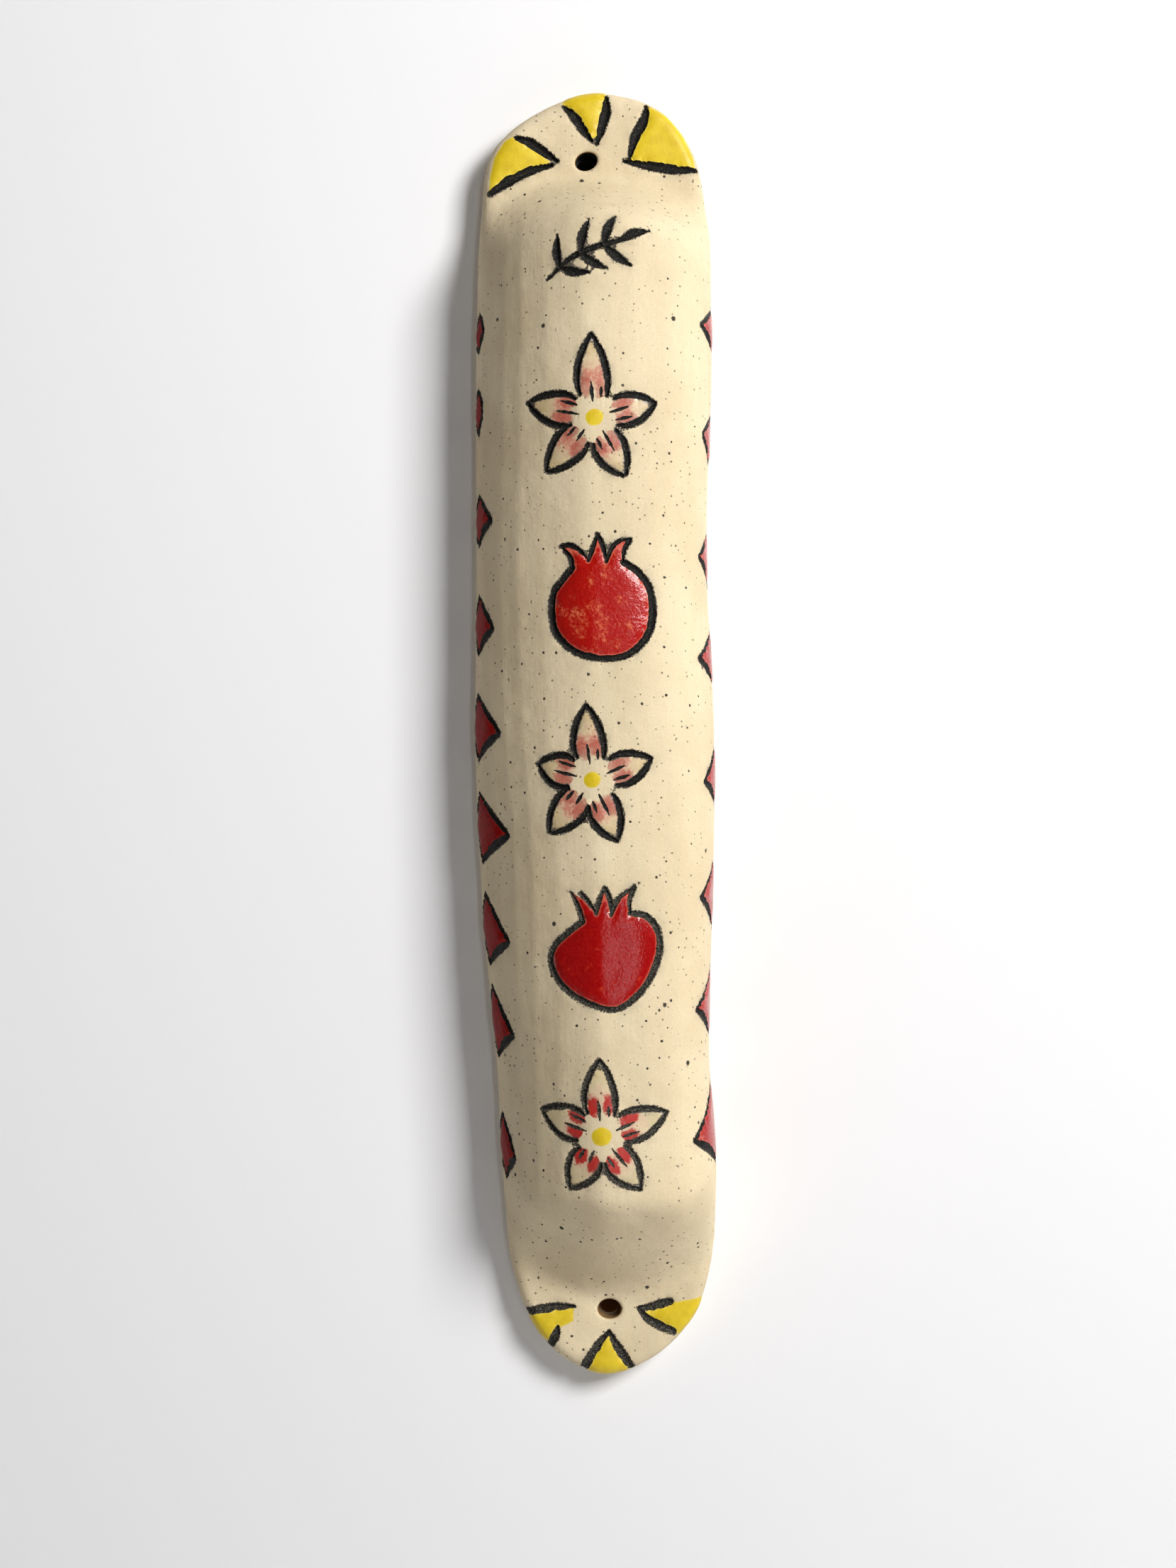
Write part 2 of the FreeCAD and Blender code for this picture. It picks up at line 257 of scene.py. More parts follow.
def sections(start_z, direction_x, direction_z, reach):
    """Each ray's section: distance in plan, height, and length along the surface."""
    reach = reach[:, None]
    out = np.sin(np.linspace(0, math.pi / 2, FRONT_POINTS))[None, :]
    front = reach * out
    x = direction_x[:, None] * front
    z = start_z[:, None] + direction_z[:, None] * front
    wall = np.linspace(FLANGE - FRONT_EDGE_RADIUS, BACK_EDGE_RADIUS, WALL_STEPS + 1)[None, 1:]
    turn = np.linspace(0, math.pi / 2, TURN_STEPS + 1)[None, 1:]
    ones = np.ones_like(reach)
    inward = BACK_EDGE_RADIUS * (1 - np.cos(turn))
    plan = np.hstack([front, reach * np.ones_like(wall), reach - inward])
    height = np.hstack([front_height(x, z, out, reach), ones * wall,
                        ones * BACK_EDGE_RADIUS * (1 - np.sin(turn))])
    steps = np.hypot(np.diff(plan, axis=1), np.diff(height, axis=1))
    length = np.hstack([0 * ones, np.cumsum(steps, axis=1)])
    return plan, height, length


def lookup(keys, values, wanted):
    """Row by row interpolation: the value where the row's key is as wanted."""
    after = np.clip(np.sum(keys < wanted[:, None], axis=1), 1, keys.shape[1] - 1)
    rows = np.arange(len(wanted))
    low, high = keys[rows, after - 1], keys[rows, after]
    part = np.clip((wanted - low) / np.maximum(high - low, TINY), 0, 1)
    return values[rows, after - 1] * (1 - part) + values[rows, after] * part


def to_sheet(points):
    """Sheet places of points (x, z) seen from the front. Past the edge they run down the wall."""
    points = np.array(points, float)
    start_z, direction_x, direction_z, reach = rays(points[:, 0], points[:, 1])
    distance = np.hypot(points[:, 0], points[:, 1] - start_z)
    plan, _, length = sections(start_z, direction_x, direction_z, reach)
    on_front = lookup(plan[:, :FRONT_POINTS], length[:, :FRONT_POINTS], distance)
    along_ray = on_front + np.maximum(distance - reach, 0)
    return np.column_stack([direction_x * along_ray, start_z + direction_z * along_ray])


def on_dome(places):
    """Points in space, in millimetres, of places on the sheet."""
    made = []
    for first in range(0, len(places), PLACES_AT_ONCE):
        part = places[first:first + PLACES_AT_ONCE]
        start_z, direction_x, direction_z, reach = rays(part[:, 0], part[:, 1])
        along_ray = np.hypot(part[:, 0], part[:, 1] - start_z)
        plan, height, length = sections(start_z, direction_x, direction_z, reach)
        distance = lookup(length, plan, along_ray)
        rise = lookup(length, height, along_ray)
        made.append(np.column_stack([
            direction_x * distance, -rise, start_z + direction_z * distance,
        ]))
    return np.vstack(made)


def wall_place(sign, z, height):
    """Sheet place at a height on a side wall."""
    start_z, direction_x, direction_z, reach = rays(np.array([float(sign)]), np.array([float(z)]))
    _, rise, length = sections(start_z, direction_x, direction_z, reach)
    return sign * np.interp(-height, -rise[0], length[0]), z


def sheet_rim():
    """Rays to the rim, anticlockwise, each with its length to the front edge and to the rim."""
    angles = np.linspace(0, math.pi, CAP_RAYS)
    heights = np.linspace(0, -NAIL_SPACING, SIDE_RAYS)[1:-1]
    directions = [(math.cos(angle), math.sin(angle), 0.0) for angle in angles]
    directions += [(-1.0, 0.0, z) for z in heights]
    directions += [(-math.cos(angle), -math.sin(angle), -NAIL_SPACING) for angle in angles]
    directions += [(1.0, 0.0, z) for z in reversed(heights)]
    rim = []
    for direction_x, direction_z, start_z in directions:
        probe_z = start_z + direction_z * PROBE
        start, _, _, reach = rays(np.array([direction_x * PROBE]), np.array([probe_z]))
        _, _, length = sections(start, np.array([direction_x]), np.array([direction_z]), reach)
        rim.append((direction_x, direction_z, start_z, length[0, FRONT_POINTS - 1], length[0, -1]))
    return np.array(rim)


def along_rim(rim, lengths):
    """Sheet places on the rim's rays, at the given length from each ray's start."""
    return np.column_stack([rim[:, 0] * lengths, rim[:, 2] + rim[:, 1] * lengths])


# ---------------------------------------------------------------- The drawing

strokes = []
fields = []


# A line's edge wanders at two scales, and never comes nearer its middle than this
COARSE_WANDER = 0.7
FINE_WANDER = 0.3
SMALLEST_HALF_WIDTH = 0.06
ROUND_END = (math.pi / 4, math.pi / 2, 3 * math.pi / 4)
# Rows of points inside a line, as shares of its half width
INNER_PLACES = (-0.5, 0.0, 0.5)
# A curve with more points than this is thinned and smoothed once more
SHORT_CURVE = 8


def edge_half(half, curve, ragged, shift):
    """Half width of a line on one side, with its wander."""
    half = half + ragged * wobble(curve, COARSE_WANDER, shift)
    half = half + ragged * wobble(curve, FINE_WANDER, shift + 1.0)
    return np.maximum(half, SMALLEST_HALF_WIDTH)[:, None]


def add_stroke(piece, points, widths, depth, ragged=0.10, on_sheet=False, clean=0.0):
    """Incised line filled with slip. Its widths are spread evenly from its start to its end.

    The larger clean is, the less slip is scattered round it.
    """
    curve = smooth_curve(points, LINE_SPACING)
    if not on_sheet:
        curve = to_sheet(curve)
    curve = smooth_curve(curve[::2] if len(curve) > SHORT_CURVE else curve, LINE_SPACING)
    ahead = np.gradient(curve, axis=0)
    ahead /= np.hypot(ahead[:, 0], ahead[:, 1])[:, None]
    aside = np.column_stack([-ahead[:, 1], ahead[:, 0]])
    position = np.linspace(0, 1, len(curve))
    half = np.interp(position, np.linspace(0, 1, len(widths)), widths) / 2
    left = curve + aside * edge_half(half, curve, ragged, 1.0)
    right = curve - aside * edge_half(half, curve, ragged, 3.0)

    def round_end(at, sign):
        return [curve[at] + sign * half[at] * (ahead[at] * math.sin(turn) + aside[at] * math.cos(turn))
                for turn in ROUND_END]

    polygon = np.vstack([left, round_end(-1, 1), right[::-1], round_end(0, -1)])
    inner = [curve + aside * (place * half)[:, None] for place in INNER_PLACES]
    strokes.append({"piece": piece, "polygon": polygon, "curve": curve, "half": half,
                    "depth": depth, "inner": np.vstack(inner), "clean": clean})


def add_field(piece, points, petal=None, on_sheet=False, smooth=False):
    """Area of wash or glaze inside a closed line. A petal's field also keeps its axis."""
    points = np.array(points, float)
    if smooth:
        points = smooth_curve(points, LINE_SPACING, closed=True)
    else:
        loop = np.vstack([points, points[:1]])
        points = np.vstack([
            np.linspace(first, last, max(2, round(math.dist(first, last) / LINE_SPACING)), False)
            for first, last in zip(loop, loop[1:])
        ])
    fields.append({"piece": piece, "polygon": points if on_sheet else to_sheet(points),
                   "petal": petal})


# Flower: centre, then the petals' tips, line width and the radius of the yellow heart
FLOWERS = {
    "top": ((0.3, -34.9), ((0.1, -24.6), (-8.0, -32.5), (-5.9, -41.4), (4.0, -42.3), (7.9, -33.2)),
            0.80, 1.08),
    "middle": ((-0.9, -79.7), ((-1.5, -70.4), (-7.6, -77.5), (-6.3, -86.3), (2.1, -87.3),
                               (6.5, -77.2)), 0.80, 1.03),
    "bottom": ((-0.6, -123.8), ((-0.7, -114.3), (-8.1, -120.7), (-4.7, -130.4), (4.1, -130.4),
                                (7.6, -121.0)), 0.72, 1.2),
}
# Petal: where a side starts (along, aside), and its bends as shares of the length and the bulge
PETAL_ROOT = (2.8, 1.65)
PETAL_BULGE = 1.85
PETAL_BENDS = ((0.25, 1.25), (0.66, 0.95))
PETAL_LEAN = 0.18
PETAL_UNEVENNESS = 0.08
PETAL_STEPS = 8
# How far the wash reaches inward from the root, and aside there
PETAL_BASE = (0.5, 0.8)
PETAL_LINE_PARTS = (0.55, 1.0, 1.05, 0.95, 0.55)
PETAL_LINE_DEPTH = 0.34
# Dark streaks on each petal: from (along, aside) to (along, aside)
PETAL_STREAKS = ((2.0, 0.12, 4.9, 0.28), (2.5, -0.95, 4.5, -1.0))
STREAK_WIDTHS = (0.2, 0.42, 0.46, 0.18)
STREAK_DEPTH = 0.12
STREAK_RAGGED = 0.08
STREAK_CLEAN = 0.6
HEART_STEPS = 24
# Dabs of wash on each petal: along, aside, half length, half width. Each petal shifts its own
DAB_SHIFT = 0.45
DABS = ((3.7, 0.95, 1.5, 0.75), (3.6, -1.05, 1.4, 0.8))


def petal_point(centre, axis, along, aside):
    """Point at a distance along a petal's axis and aside from it."""
    return (centre[0] + axis[0] * along - axis[1] * aside,
            centre[1] + axis[1] * along + axis[0] * aside)


def draw_petal(name, number, centre, tip, width):
    """Two lines that meet in the tip, the wash between them and two dark streaks."""
    length = math.dist(centre, tip)
    axis = ((tip[0] - centre[0]) / length, (tip[1] - centre[1]) / length)
    root, root_aside = PETAL_ROOT
    sides = {}
    for sign in (-1, 1):
        lean = PETAL_LEAN * math.sin(3.1 * number + sign)
        wide = PETAL_BULGE * (1 + PETAL_UNEVENNESS * math.sin(5.3 * number + 2 * sign))
        control = [(root + lean, sign * root_aside)]
        control += [(root + part * (length - root), sign * bulge * wide) for part, bulge in PETAL_BENDS]
        control += [(length, 0.0)]
        curve = []
        for step in range(PETAL_STEPS + 1):
            t = step / PETAL_STEPS
            weights = ((1 - t)**3, 3 * t * (1 - t)**2, 3 * t * t * (1 - t), t**3)
            along = sum(weight * point[0] for weight, point in zip(weights, control))
            aside = sum(weight * point[1] for weight, point in zip(weights, control))
            curve.append(petal_point(centre, axis, along, aside))
        sides[sign] = curve
        widths = [part * width for part in PETAL_LINE_PARTS]
        add_stroke(f"flower_{name}_outline", curve, widths, PETAL_LINE_DEPTH)
    inward, base_aside = PETAL_BASE
    base = [petal_point(centre, axis, root - inward, aside) for aside in (-base_aside, base_aside)]
    loop = sides[1] + sides[-1][::-1][1:] + base
    add_field(f"flower_{name}_petals", loop, petal=(centre, axis, length))
    for first, first_aside, last, last_aside in PETAL_STREAKS:
        reach = (last - first) * (0.8 + 0.25 * math.sin(2.3 * number + first_aside))
        points = [petal_point(centre, axis, first, first_aside),
                  petal_point(centre, axis, first + reach / 2, (first_aside + last_aside) / 2),
                  petal_point(centre, axis, first + reach, last_aside)]
        add_stroke(f"flower_{name}_outline", points, STREAK_WIDTHS, STREAK_DEPTH, STREAK_RAGGED,
                   clean=STREAK_CLEAN)


def draw_flower(name, centre, tips, width, heart_radius):
    """Five petals round a yellow heart."""
    for number, tip in enumerate(tips):
        draw_petal(name, number, centre, tip, width)
    heart = []
    for step in range(HEART_STEPS):
        angle = 2 * math.pi * step / HEART_STEPS
        radius = heart_radius * (1 + 0.05 * math.sin(2 * angle + 1) + 0.02 * math.sin(5 * angle))
        heart.append((centre[0] + radius * math.cos(angle), centre[1] + radius * math.sin(angle)))
    add_field(f"flower_{name}_centre", heart, smooth=True)


# Pomegranate: its round body from the left of the crown to the right, each side of the crown's
# leaves from left to right, and the line width
POMEGRANATES = {
    "upper": (
        ((-2.8, -53.4), (-4.1, -54.9), (-5.2, -56.3), (-5.5, -58.3), (-5.1, -61.2), (-3.1, -63.5),
         (0.9, -64.7), (3.8, -64.3), (5.8, -62.7), (6.8, -60.7), (7.0, -58.7), (6.6, -56.0),
         (5.3, -54.2), (3.5, -52.9)),
        (((-2.8, -53.4), (-2.9, -52.4), (-4.2, -50.7)),
         ((-4.2, -50.7), (-3.1, -50.6), (-2.0, -51.2), (-0.8, -52.6)),
         ((-0.8, -52.6), (-0.1, -50.8), (0.4, -49.4)),
         ((0.4, -49.4), (1.0, -50.8), (1.4, -52.8)),
         ((1.4, -52.8), (2.3, -50.9), (3.2, -50.2), (4.4, -50.1)),
         ((4.4, -50.1), (3.6, -51.5), (3.5, -52.9))),
        0.85,
    ),
    "lower": (
        ((-2.4, -97.2), (-4.5, -98.8), (-6.1, -100.5), (-6.5, -101.9), (-6.0, -103.7),
         (-4.7, -105.5), (-1.8, -107.3), (1.3, -108.1), (4.3, -106.3), (6.3, -103.2),
         (7.1, -100.2), (6.9, -98.6), (5.4, -96.7), (3.5, -96.3)),
        (((-2.4, -97.2), (-2.9, -95.4), (-3.8, -93.6)),
         ((-2.6, -93.7), (-1.7, -94.8), (-0.7, -96.3)),
         ((-0.7, -96.3), (-0.3, -94.6), (0.4, -93.1)),
         ((0.4, -93.1), (1.0, -94.6), (1.1, -96.5)),
         ((1.1, -96.5), (2.0, -94.6), (4.1, -93.0)),
         ((4.1, -93.0), (3.4, -94.7), (3.5, -96.3))),
        0.75,
    ),
}
BODY_LINE_PARTS = (1.0, 1.1, 0.9, 1.15, 1.0)
BODY_LINE_DEPTH = 0.36
CROWN_WIDTHS = (0.5, 0.65, 0.55, 0.3)
CROWN_LINE_DEPTH = 0.3
CROWN_RAGGED = 0.07


def draw_pomegranate(name, body, crown, width):
    """Black outline with a crown of three leaves, and the red glaze inside."""
    piece = f"pomegranate_{name}"
    widths = [part * width for part in BODY_LINE_PARTS]
    add_stroke(f"{piece}_outline", body, widths, BODY_LINE_DEPTH)
    for line in crown:
        add_stroke(f"{piece}_outline", line, CROWN_WIDTHS, CROWN_LINE_DEPTH, CROWN_RAGGED)
    crown_path = [point for line in crown for point in line[1:]]
    add_field(f"{piece}_glaze", list(reversed(body))[:-1] + [body[0]] + crown_path[:-1])


# Gouged lines at the ends, each from its inner to its outer end, then the yellow between them
TOP_RAYS = (
    ((-3.7, 0.1), (-5.8, 1.5), (-7.2, 2.5), (-9.2, 3.2)),
    ((-4.4, -0.4), (-6.9, -1.0), (-10.1, -2.4), (-12.8, -4.2)),
    ((0.8, 2.6), (-0.1, 3.7), (-1.5, 5.9), (-2.9, 7.3)),
    ((1.4, 2.2), (2.0, 4.1), (2.7, 6.6), (2.7, 8.6)),
    ((5.6, 0.3), (6.4, 3.0), (7.7, 5.5), (8.0, 7.3)),
    ((4.9, 0.0), (7.4, -0.6), (10.9, -1.2), (14.4, -1.5)),
)
TOP_WEDGES = (
    ((-4.6, 0.0), (-9.4, 3.3), (-10.4, 2.8), (-11.8, 0.7), (-12.4, -1.7), (-12.6, -3.9)),
    ((0.9, 2.9), (-2.9, 7.4), (-2.8, 9.2), (0.4, 10.2), (2.8, 9.9), (2.7, 8.4), (1.6, 3.2)),
    ((5.7, 0.4), (8.0, 7.2), (10.6, 6.0), (12.6, 3.4), (13.8, 0.2), (14.0, -1.2), (5.3, -0.1)),
)
BOTTOM_RAYS = (
    ((-4.5, -147.5), (-6.1, -147.5), (-8.1, -147.7), (-10.9, -148.2)),
    ((-6.7, -150.0), (-7.0, -151.0), (-7.7, -152.4)),
    ((-0.1, -150.8), (-1.5, -152.5), (-2.5, -154.0), (-3.6, -155.8)),
    ((-0.1, -150.8), (0.7, -152.5), (1.7, -154.1), (2.8, -155.8)),
    ((3.7, -147.9), (5.3, -147.8), (7.1, -147.3), (8.1, -147.1)),
    ((3.7, -147.9), (4.9, -149.2), (6.5, -150.2), (8.2, -151.0)),
)
BOTTOM_WEDGES = (
    ((-4.6, -147.6), (-11.0, -148.4), (-11.6, -149.0), (-9.6, -151.6), (-8.0, -151.9),
     (-6.8, -150.4), (-4.7, -149.4)),
    ((-0.1, -151.3), (-3.4, -155.6), (-3.0, -157.4), (-0.6, -158.4), (2.0, -157.4), (2.6, -155.6)),
    ((4.6, -148.4), (8.0, -147.3), (12.4, -146.6), (12.0, -148.6), (8.9, -151.4), (7.6, -150.9)),
)
TOP_RAY_WIDTHS = (0.45, 1.15, 1.3, 0.5)
TOP_RAY_DEPTH = 0.5
BOTTOM_RAY_WIDTHS = (0.35, 1.0, 1.15, 0.9)
BOTTOM_RAY_DEPTH = 0.45
RAY_RAGGED = 0.13


def draw_rays(end, lines, wedges, widths, depth):
    """Black gouges with yellow wedges between them, round one nail hole."""
    for line in lines:
        add_stroke(f"{end}_ray_lines", line, widths, depth, RAY_RAGGED)
    for wedge in wedges:
        add_field(f"{end}_ray_glaze", wedge)


# Side diamonds: the front tip (x, z), then the z of the upper and lower corners
LEFT_DIAMONDS = (
    (-13.6, -22.5, -19.9, -24.6), (-14.0, -32.7, -29.6, -35.2), (-13.1, -46.5, -43.2, -49.4),
    (-13.1, -60.3, -56.0, -63.2), (-12.4, -73.5, -68.6, -76.8), (-11.7, -86.5, -81.2, -89.8),
    (-11.9, -100.0, -94.0, -102.8), (-11.6, -111.8, -105.8, -114.6),
    (-11.8, -127.6, -122.2, -130.2),
)
RIGHT_DIAMONDS = (
    (13.9, -22.9, -19.8, -25.8), (14.0, -36.4, -33.6, -40.2), (13.3, -51.9, -48.4, -55.4),
    (13.0, -64.7, -60.8, -68.4), (13.3, -80.2, -75.0, -83.6), (12.6, -94.7, -89.8, -98.8),
    (11.8, -108.7, -103.8, -113.2), (11.2, -125.0, -117.8, -129.2),
)
DIAMOND_MIDDLE_HEIGHT = 6.4
DIAMOND_BACK_HEIGHT = 1.9
DIAMOND_BEND = 0.35
DIAMOND_LINE_DEPTH = 0.36
UPPER_EDGE_WIDTHS = (0.6, 0.75, 0.8, 0.6)
LOWER_EDGE_WIDTHS = (0.75, 1.25, 1.15, 0.6)


def draw_diamonds(side, sign, tips):
    """Red diamonds with black edges down one side wall."""
    for x, z, top, foot in tips:
        tip = tuple(to_sheet([(x, z)])[0])
        upper = wall_place(sign, top, DIAMOND_MIDDLE_HEIGHT)
        lower = wall_place(sign, foot, DIAMOND_MIDDLE_HEIGHT)
        back = wall_place(sign, (top + foot) / 2, DIAMOND_BACK_HEIGHT)
        add_field(f"{side}_diamond_glaze", (tip, upper, back, lower), on_sheet=True)
        bend = DIAMOND_BEND * sign
        for first, last, widths, push in (
                (tip, upper, UPPER_EDGE_WIDTHS, -bend), (tip, lower, LOWER_EDGE_WIDTHS, bend),
                (upper, back, UPPER_EDGE_WIDTHS, 0.0), (lower, back, UPPER_EDGE_WIDTHS, 0.0)):
            middle = ((first[0] + last[0]) / 2 + push, (first[1] + last[1]) / 2)
            add_stroke(f"{side}_diamond_outlines", (first, middle, last), widths,
                       DIAMOND_LINE_DEPTH, on_sheet=True)


# Sprig that marks the top of the front
SPRIG_STEM = ((-5.2, -17.4), (-2.4, -15.2), (0.8, -13.9), (4.2, -13.0))
SPRIG_LEAF_LENGTH = 4.1
SPRIG_LEAF_ANGLE = 52
# Places of the leaves along the stem, and the last leaf's place and turn
SPRIG_PLACES = (0.2, 0.48, 0.76)
SPRIG_END = (0.98, 4)
SPRIG_LINE_DEPTH = 0.34
LEAF_BEND = 0.22
LEAF_UNEVENNESS = 0.08
LEAF_WIDTHS = (0.35, 1.0, 1.15, 0.75, 0.15)
STEM_WIDTHS = (0.35, 0.65, 0.7, 0.6)


def draw_sprig():
    """Arched stem with a pair of leaves at each place and one leaf at its end."""
    stem = smooth_curve(SPRIG_STEM, LINE_SPACING)
    add_stroke("top_sprig", SPRIG_STEM, STEM_WIDTHS, SPRIG_LINE_DEPTH)
    leaves = [(place, turn) for place in SPRIG_PLACES
              for turn in (SPRIG_LEAF_ANGLE, -SPRIG_LEAF_ANGLE)]
    for number, (place, turn) in enumerate(leaves + [SPRIG_END]):
        index = min(int(place * len(stem)), len(stem) - 2)
        root, ahead = stem[index], stem[index + 1] - stem[index]
        angle = math.atan2(ahead[1], ahead[0]) + math.radians(turn)
        length = SPRIG_LEAF_LENGTH * (1 + LEAF_UNEVENNESS * math.sin(4 * number))
        bend = math.copysign(LEAF_BEND, turn)
        outward = np.array([math.cos(angle), math.sin(angle)])
        aside = np.array([-math.sin(angle), math.cos(angle)])
        points = [root, root + length / 2 * outward + bend * aside, root + length * outward]
        add_stroke("top_sprig", points, LEAF_WIDTHS, SPRIG_LINE_DEPTH)


def draw_front():
    """Everything that is drawn on the case."""
    for name, (centre, tips, width, heart_radius) in FLOWERS.items():
        draw_flower(name, centre, tips, width, heart_radius)
    for name, (body, crown, width) in POMEGRANATES.items():
        draw_pomegranate(name, body, crown, width)
    draw_rays("top", TOP_RAYS, TOP_WEDGES, TOP_RAY_WIDTHS, TOP_RAY_DEPTH)
    draw_rays("bottom", BOTTOM_RAYS, BOTTOM_WEDGES, BOTTOM_RAY_WIDTHS, BOTTOM_RAY_DEPTH)
    draw_diamonds("left", -1, LEFT_DIAMONDS)
    draw_diamonds("right", 1, RIGHT_DIAMONDS)
    draw_sprig()


# Nail hole: height, half length and half width of its mouth, and tilt in degrees
NAIL_HOLES = ((0.0, 1.4, 1.1, 20), (-NAIL_SPACING, 1.5, 1.2, -5))
HOLE_BACK_RADIUS = 1.25
HOLE_STEPS = 40
MOUTH_ROUNDING = 0.55
MOUTH_DEPTH = 0.4
# Rings of points inside a hole, as shares of its depth, and the ring round its back end
HOLE_RINGS = (0.2, 0.45, 0.7, 1.0)
CLEAN_RIM = 1.25


def hole_stain(z):
    """How dark the clay inside a nail hole is, part stain and part painted shade: black in the top
    hole, brown in the bottom one.
    """
    return 1.0 if z == 0.0 else 0.5


def hole_rim(hole, growth=0.0):
    """Mouth of a nail hole on the sheet."""
    z, long_half, short_half, tilt = hole
    tilt = math.radians(tilt)
    angles = np.linspace(0, 2 * math.pi, HOLE_STEPS, endpoint=False)
    long_part = (long_half + growth) * np.cos(angles)
    short_part = (short_half + growth) * np.sin(angles)
    return np.column_stack([long_part * math.cos(tilt) - short_part * math.sin(tilt),
                            z + long_part * math.sin(tilt) + short_part * math.cos(tilt)])


# ---------------------------------------------------------------- Triangles

# Rows of points, by their distance from the sheet's rim, the front's edge and a nail hole
RIM_ROWS = (0.26, 0.52, 0.785, 1.3, 2.0)
EDGE_ROWS = (0.0, 0.35, 0.7, 1.05, 1.4, 1.8, 2.3, 2.8)
HOLE_ROWS = (0.15, 0.35, 0.6)
# Nearest that a free point lies to a line, and distances within which points count as one
SMALLEST_GAP = 0.1
SAME_PLACE = 1e-4
SAME_POINT = 1e-5
ON_EDGE = 0.05


def inside(places, polygon):
    """Which places lie inside a polygon, by winding number."""
    result = np.zeros(len(places), bool)
    low, high = polygon.min(axis=0), polygon.max(axis=0)
    near = np.nonzero(np.all((places >= low) & (places <= high), axis=1))[0]
    for first in range(0, len(near), PLACES_AT_ONCE):
        chosen = near[first:first + PLACES_AT_ONCE]
        x, y = places[chosen, 0][:, None], places[chosen, 1][:, None]
        start, end = polygon[None], np.roll(polygon, -1, axis=0)[None]
        side = ((end[..., 0] - start[..., 0]) * (y - start[..., 1])
                - (x - start[..., 0]) * (end[..., 1] - start[..., 1]))
        up = (start[..., 1] <= y) & (end[..., 1] > y) & (side > 0)
        down = (start[..., 1] > y) & (end[..., 1] <= y) & (side < 0)
        result[chosen] = (up.sum(axis=1) - down.sum(axis=1)) != 0
    return result


def tree_of(places):
    """Search tree over places of the sheet."""
    tree = kdtree.KDTree(len(places))
    for index, place in enumerate(places):
        tree.insert((place[0], place[1], 0.0), index)
    tree.balance()
    return tree


def nearest(tree, places):
    """Index and distance of the nearest place in the tree."""
    found = [tree.find((place[0], place[1], 0.0)) for place in places]
    return np.array([hit[1] for hit in found]), np.array([hit[2] for hit in found])


def background(fixed, rim_loop):
    """Even places over the rest of the sheet, clear of what is drawn."""
    low, high = rim_loop.min(axis=0), rim_loop.max(axis=0)
    columns = np.arange(low[0], high[0], MESH_SPACING)
    rows = np.arange(low[1], high[1], MESH_SPACING * math.sqrt(3) / 2)
    grid = np.vstack([
        np.column_stack([columns + (number % 2) * MESH_SPACING / 2, np.full(len(columns), z)])
        for number, z in enumerate(rows)
    ])
    grid = grid[inside(grid, rim_loop)]
    _, distance = nearest(tree_of(fixed), grid)
    return grid[distance > CLEAR_OF_LINES]


def loop_edges(loops):
    """Edges of closed loops whose points are numbered one loop after the other."""
    edges = []
    first = 0
    for loop in loops:
        count = len(loop)
        edges += [(first + step, first + (step + 1) % count) for step in range(count)]
        first += count
    return edges


def triangulate():
    """Sheet places, triangles, and for each triangle the stroke or field that owns it."""
    rim = sheet_rim()
    rim_loop = along_rim(rim, rim[:, 4])
    hole_loops = [hole_rim(hole) for hole in NAIL_HOLES]
    loops = [rim_loop] + hole_loops
    loops += [field["polygon"] for field in fields] + [stroke["polygon"] for stroke in strokes]
    rows = [along_rim(rim, rim[:, 4] - step) for step in RIM_ROWS]
    rows += [along_rim(rim, rim[:, 3] - step) for step in EDGE_ROWS]
    rows += [hole_rim(hole, growth) for hole in NAIL_HOLES for growth in HOLE_ROWS]
    free = np.vstack(rows + [stroke["inner"] for stroke in strokes])
    fixed = np.vstack(loops)
    _, distance = nearest(tree_of(fixed), free)
    free = free[(distance > SMALLEST_GAP) & inside(free, rim_loop)]
    filling = background(np.vstack([fixed, free]), rim_loop)
    places = np.vstack([fixed, free, filling])
    flat = [Vector(place) for place in places]
    result = geometry.delaunay_2d_cdt(flat, loop_edges(loops), [], 0, SAME_PLACE, False)
    places = np.array([tuple(place) for place in result[0]])
    triangles = np.array(result[2])
    corners = places[triangles]
    first_side, second_side = corners[:, 1] - corners[:, 0], corners[:, 2] - corners[:, 0]
    area = first_side[:, 0] * second_side[:, 1] - first_side[:, 1] * second_side[:, 0]
    triangles[area < 0] = triangles[area < 0][:, ::-1]
    middles = places[triangles].mean(axis=1)
    kept = inside(middles, rim_loop)
    for loop in hole_loops:
        kept &= ~inside(middles, loop)
    triangles, middles = triangles[kept], middles[kept]
    owner = np.full(len(triangles), -1)
    for index, drawn in enumerate(fields + strokes):
        owner[inside(middles, drawn["polygon"])] = index
    return places, triangles, owner, rim


# ---------------------------------------------------------------- Relief

# Facets left by the knife: the lines between them on the sheet, and how deep each one is
FACET_LINES = (-20.5, -16.5, -13.2, -10.2, -6.4, -1.5, 4.6, 9.6, 14.0, 19.0)
FACET_DEPTHS = (0.04, 0.06, 0.06, 0.07, 0.06, 0.03, 0.04, 0.04, 0.04)
# Heights between which the facets fade out above and below
FACETS_ABOVE = (-9, -18)
FACETS_BELOW = (-139, -128)
WANDER_LENGTH = 34.0
WANDER_WIDTH = 1.3
# Waves of the surface: height, length and a shift of the noise
WAVES = ((0.22, 7.0, 11.0), (0.05, 2.2, 12.0))
WAVE_STRETCH = (1.0, 0.4)
CALM_RIM = 3.0
# Stands for "far from any line or edge"
FAR = 9.0
GROOVE_POWER = 0.7
# Glaze swells over this distance from its edge, to this height, and starts this much lower
SWELL_REACH, SWELL_HEIGHT, SWELL_START = 0.9, 0.12, 0.02


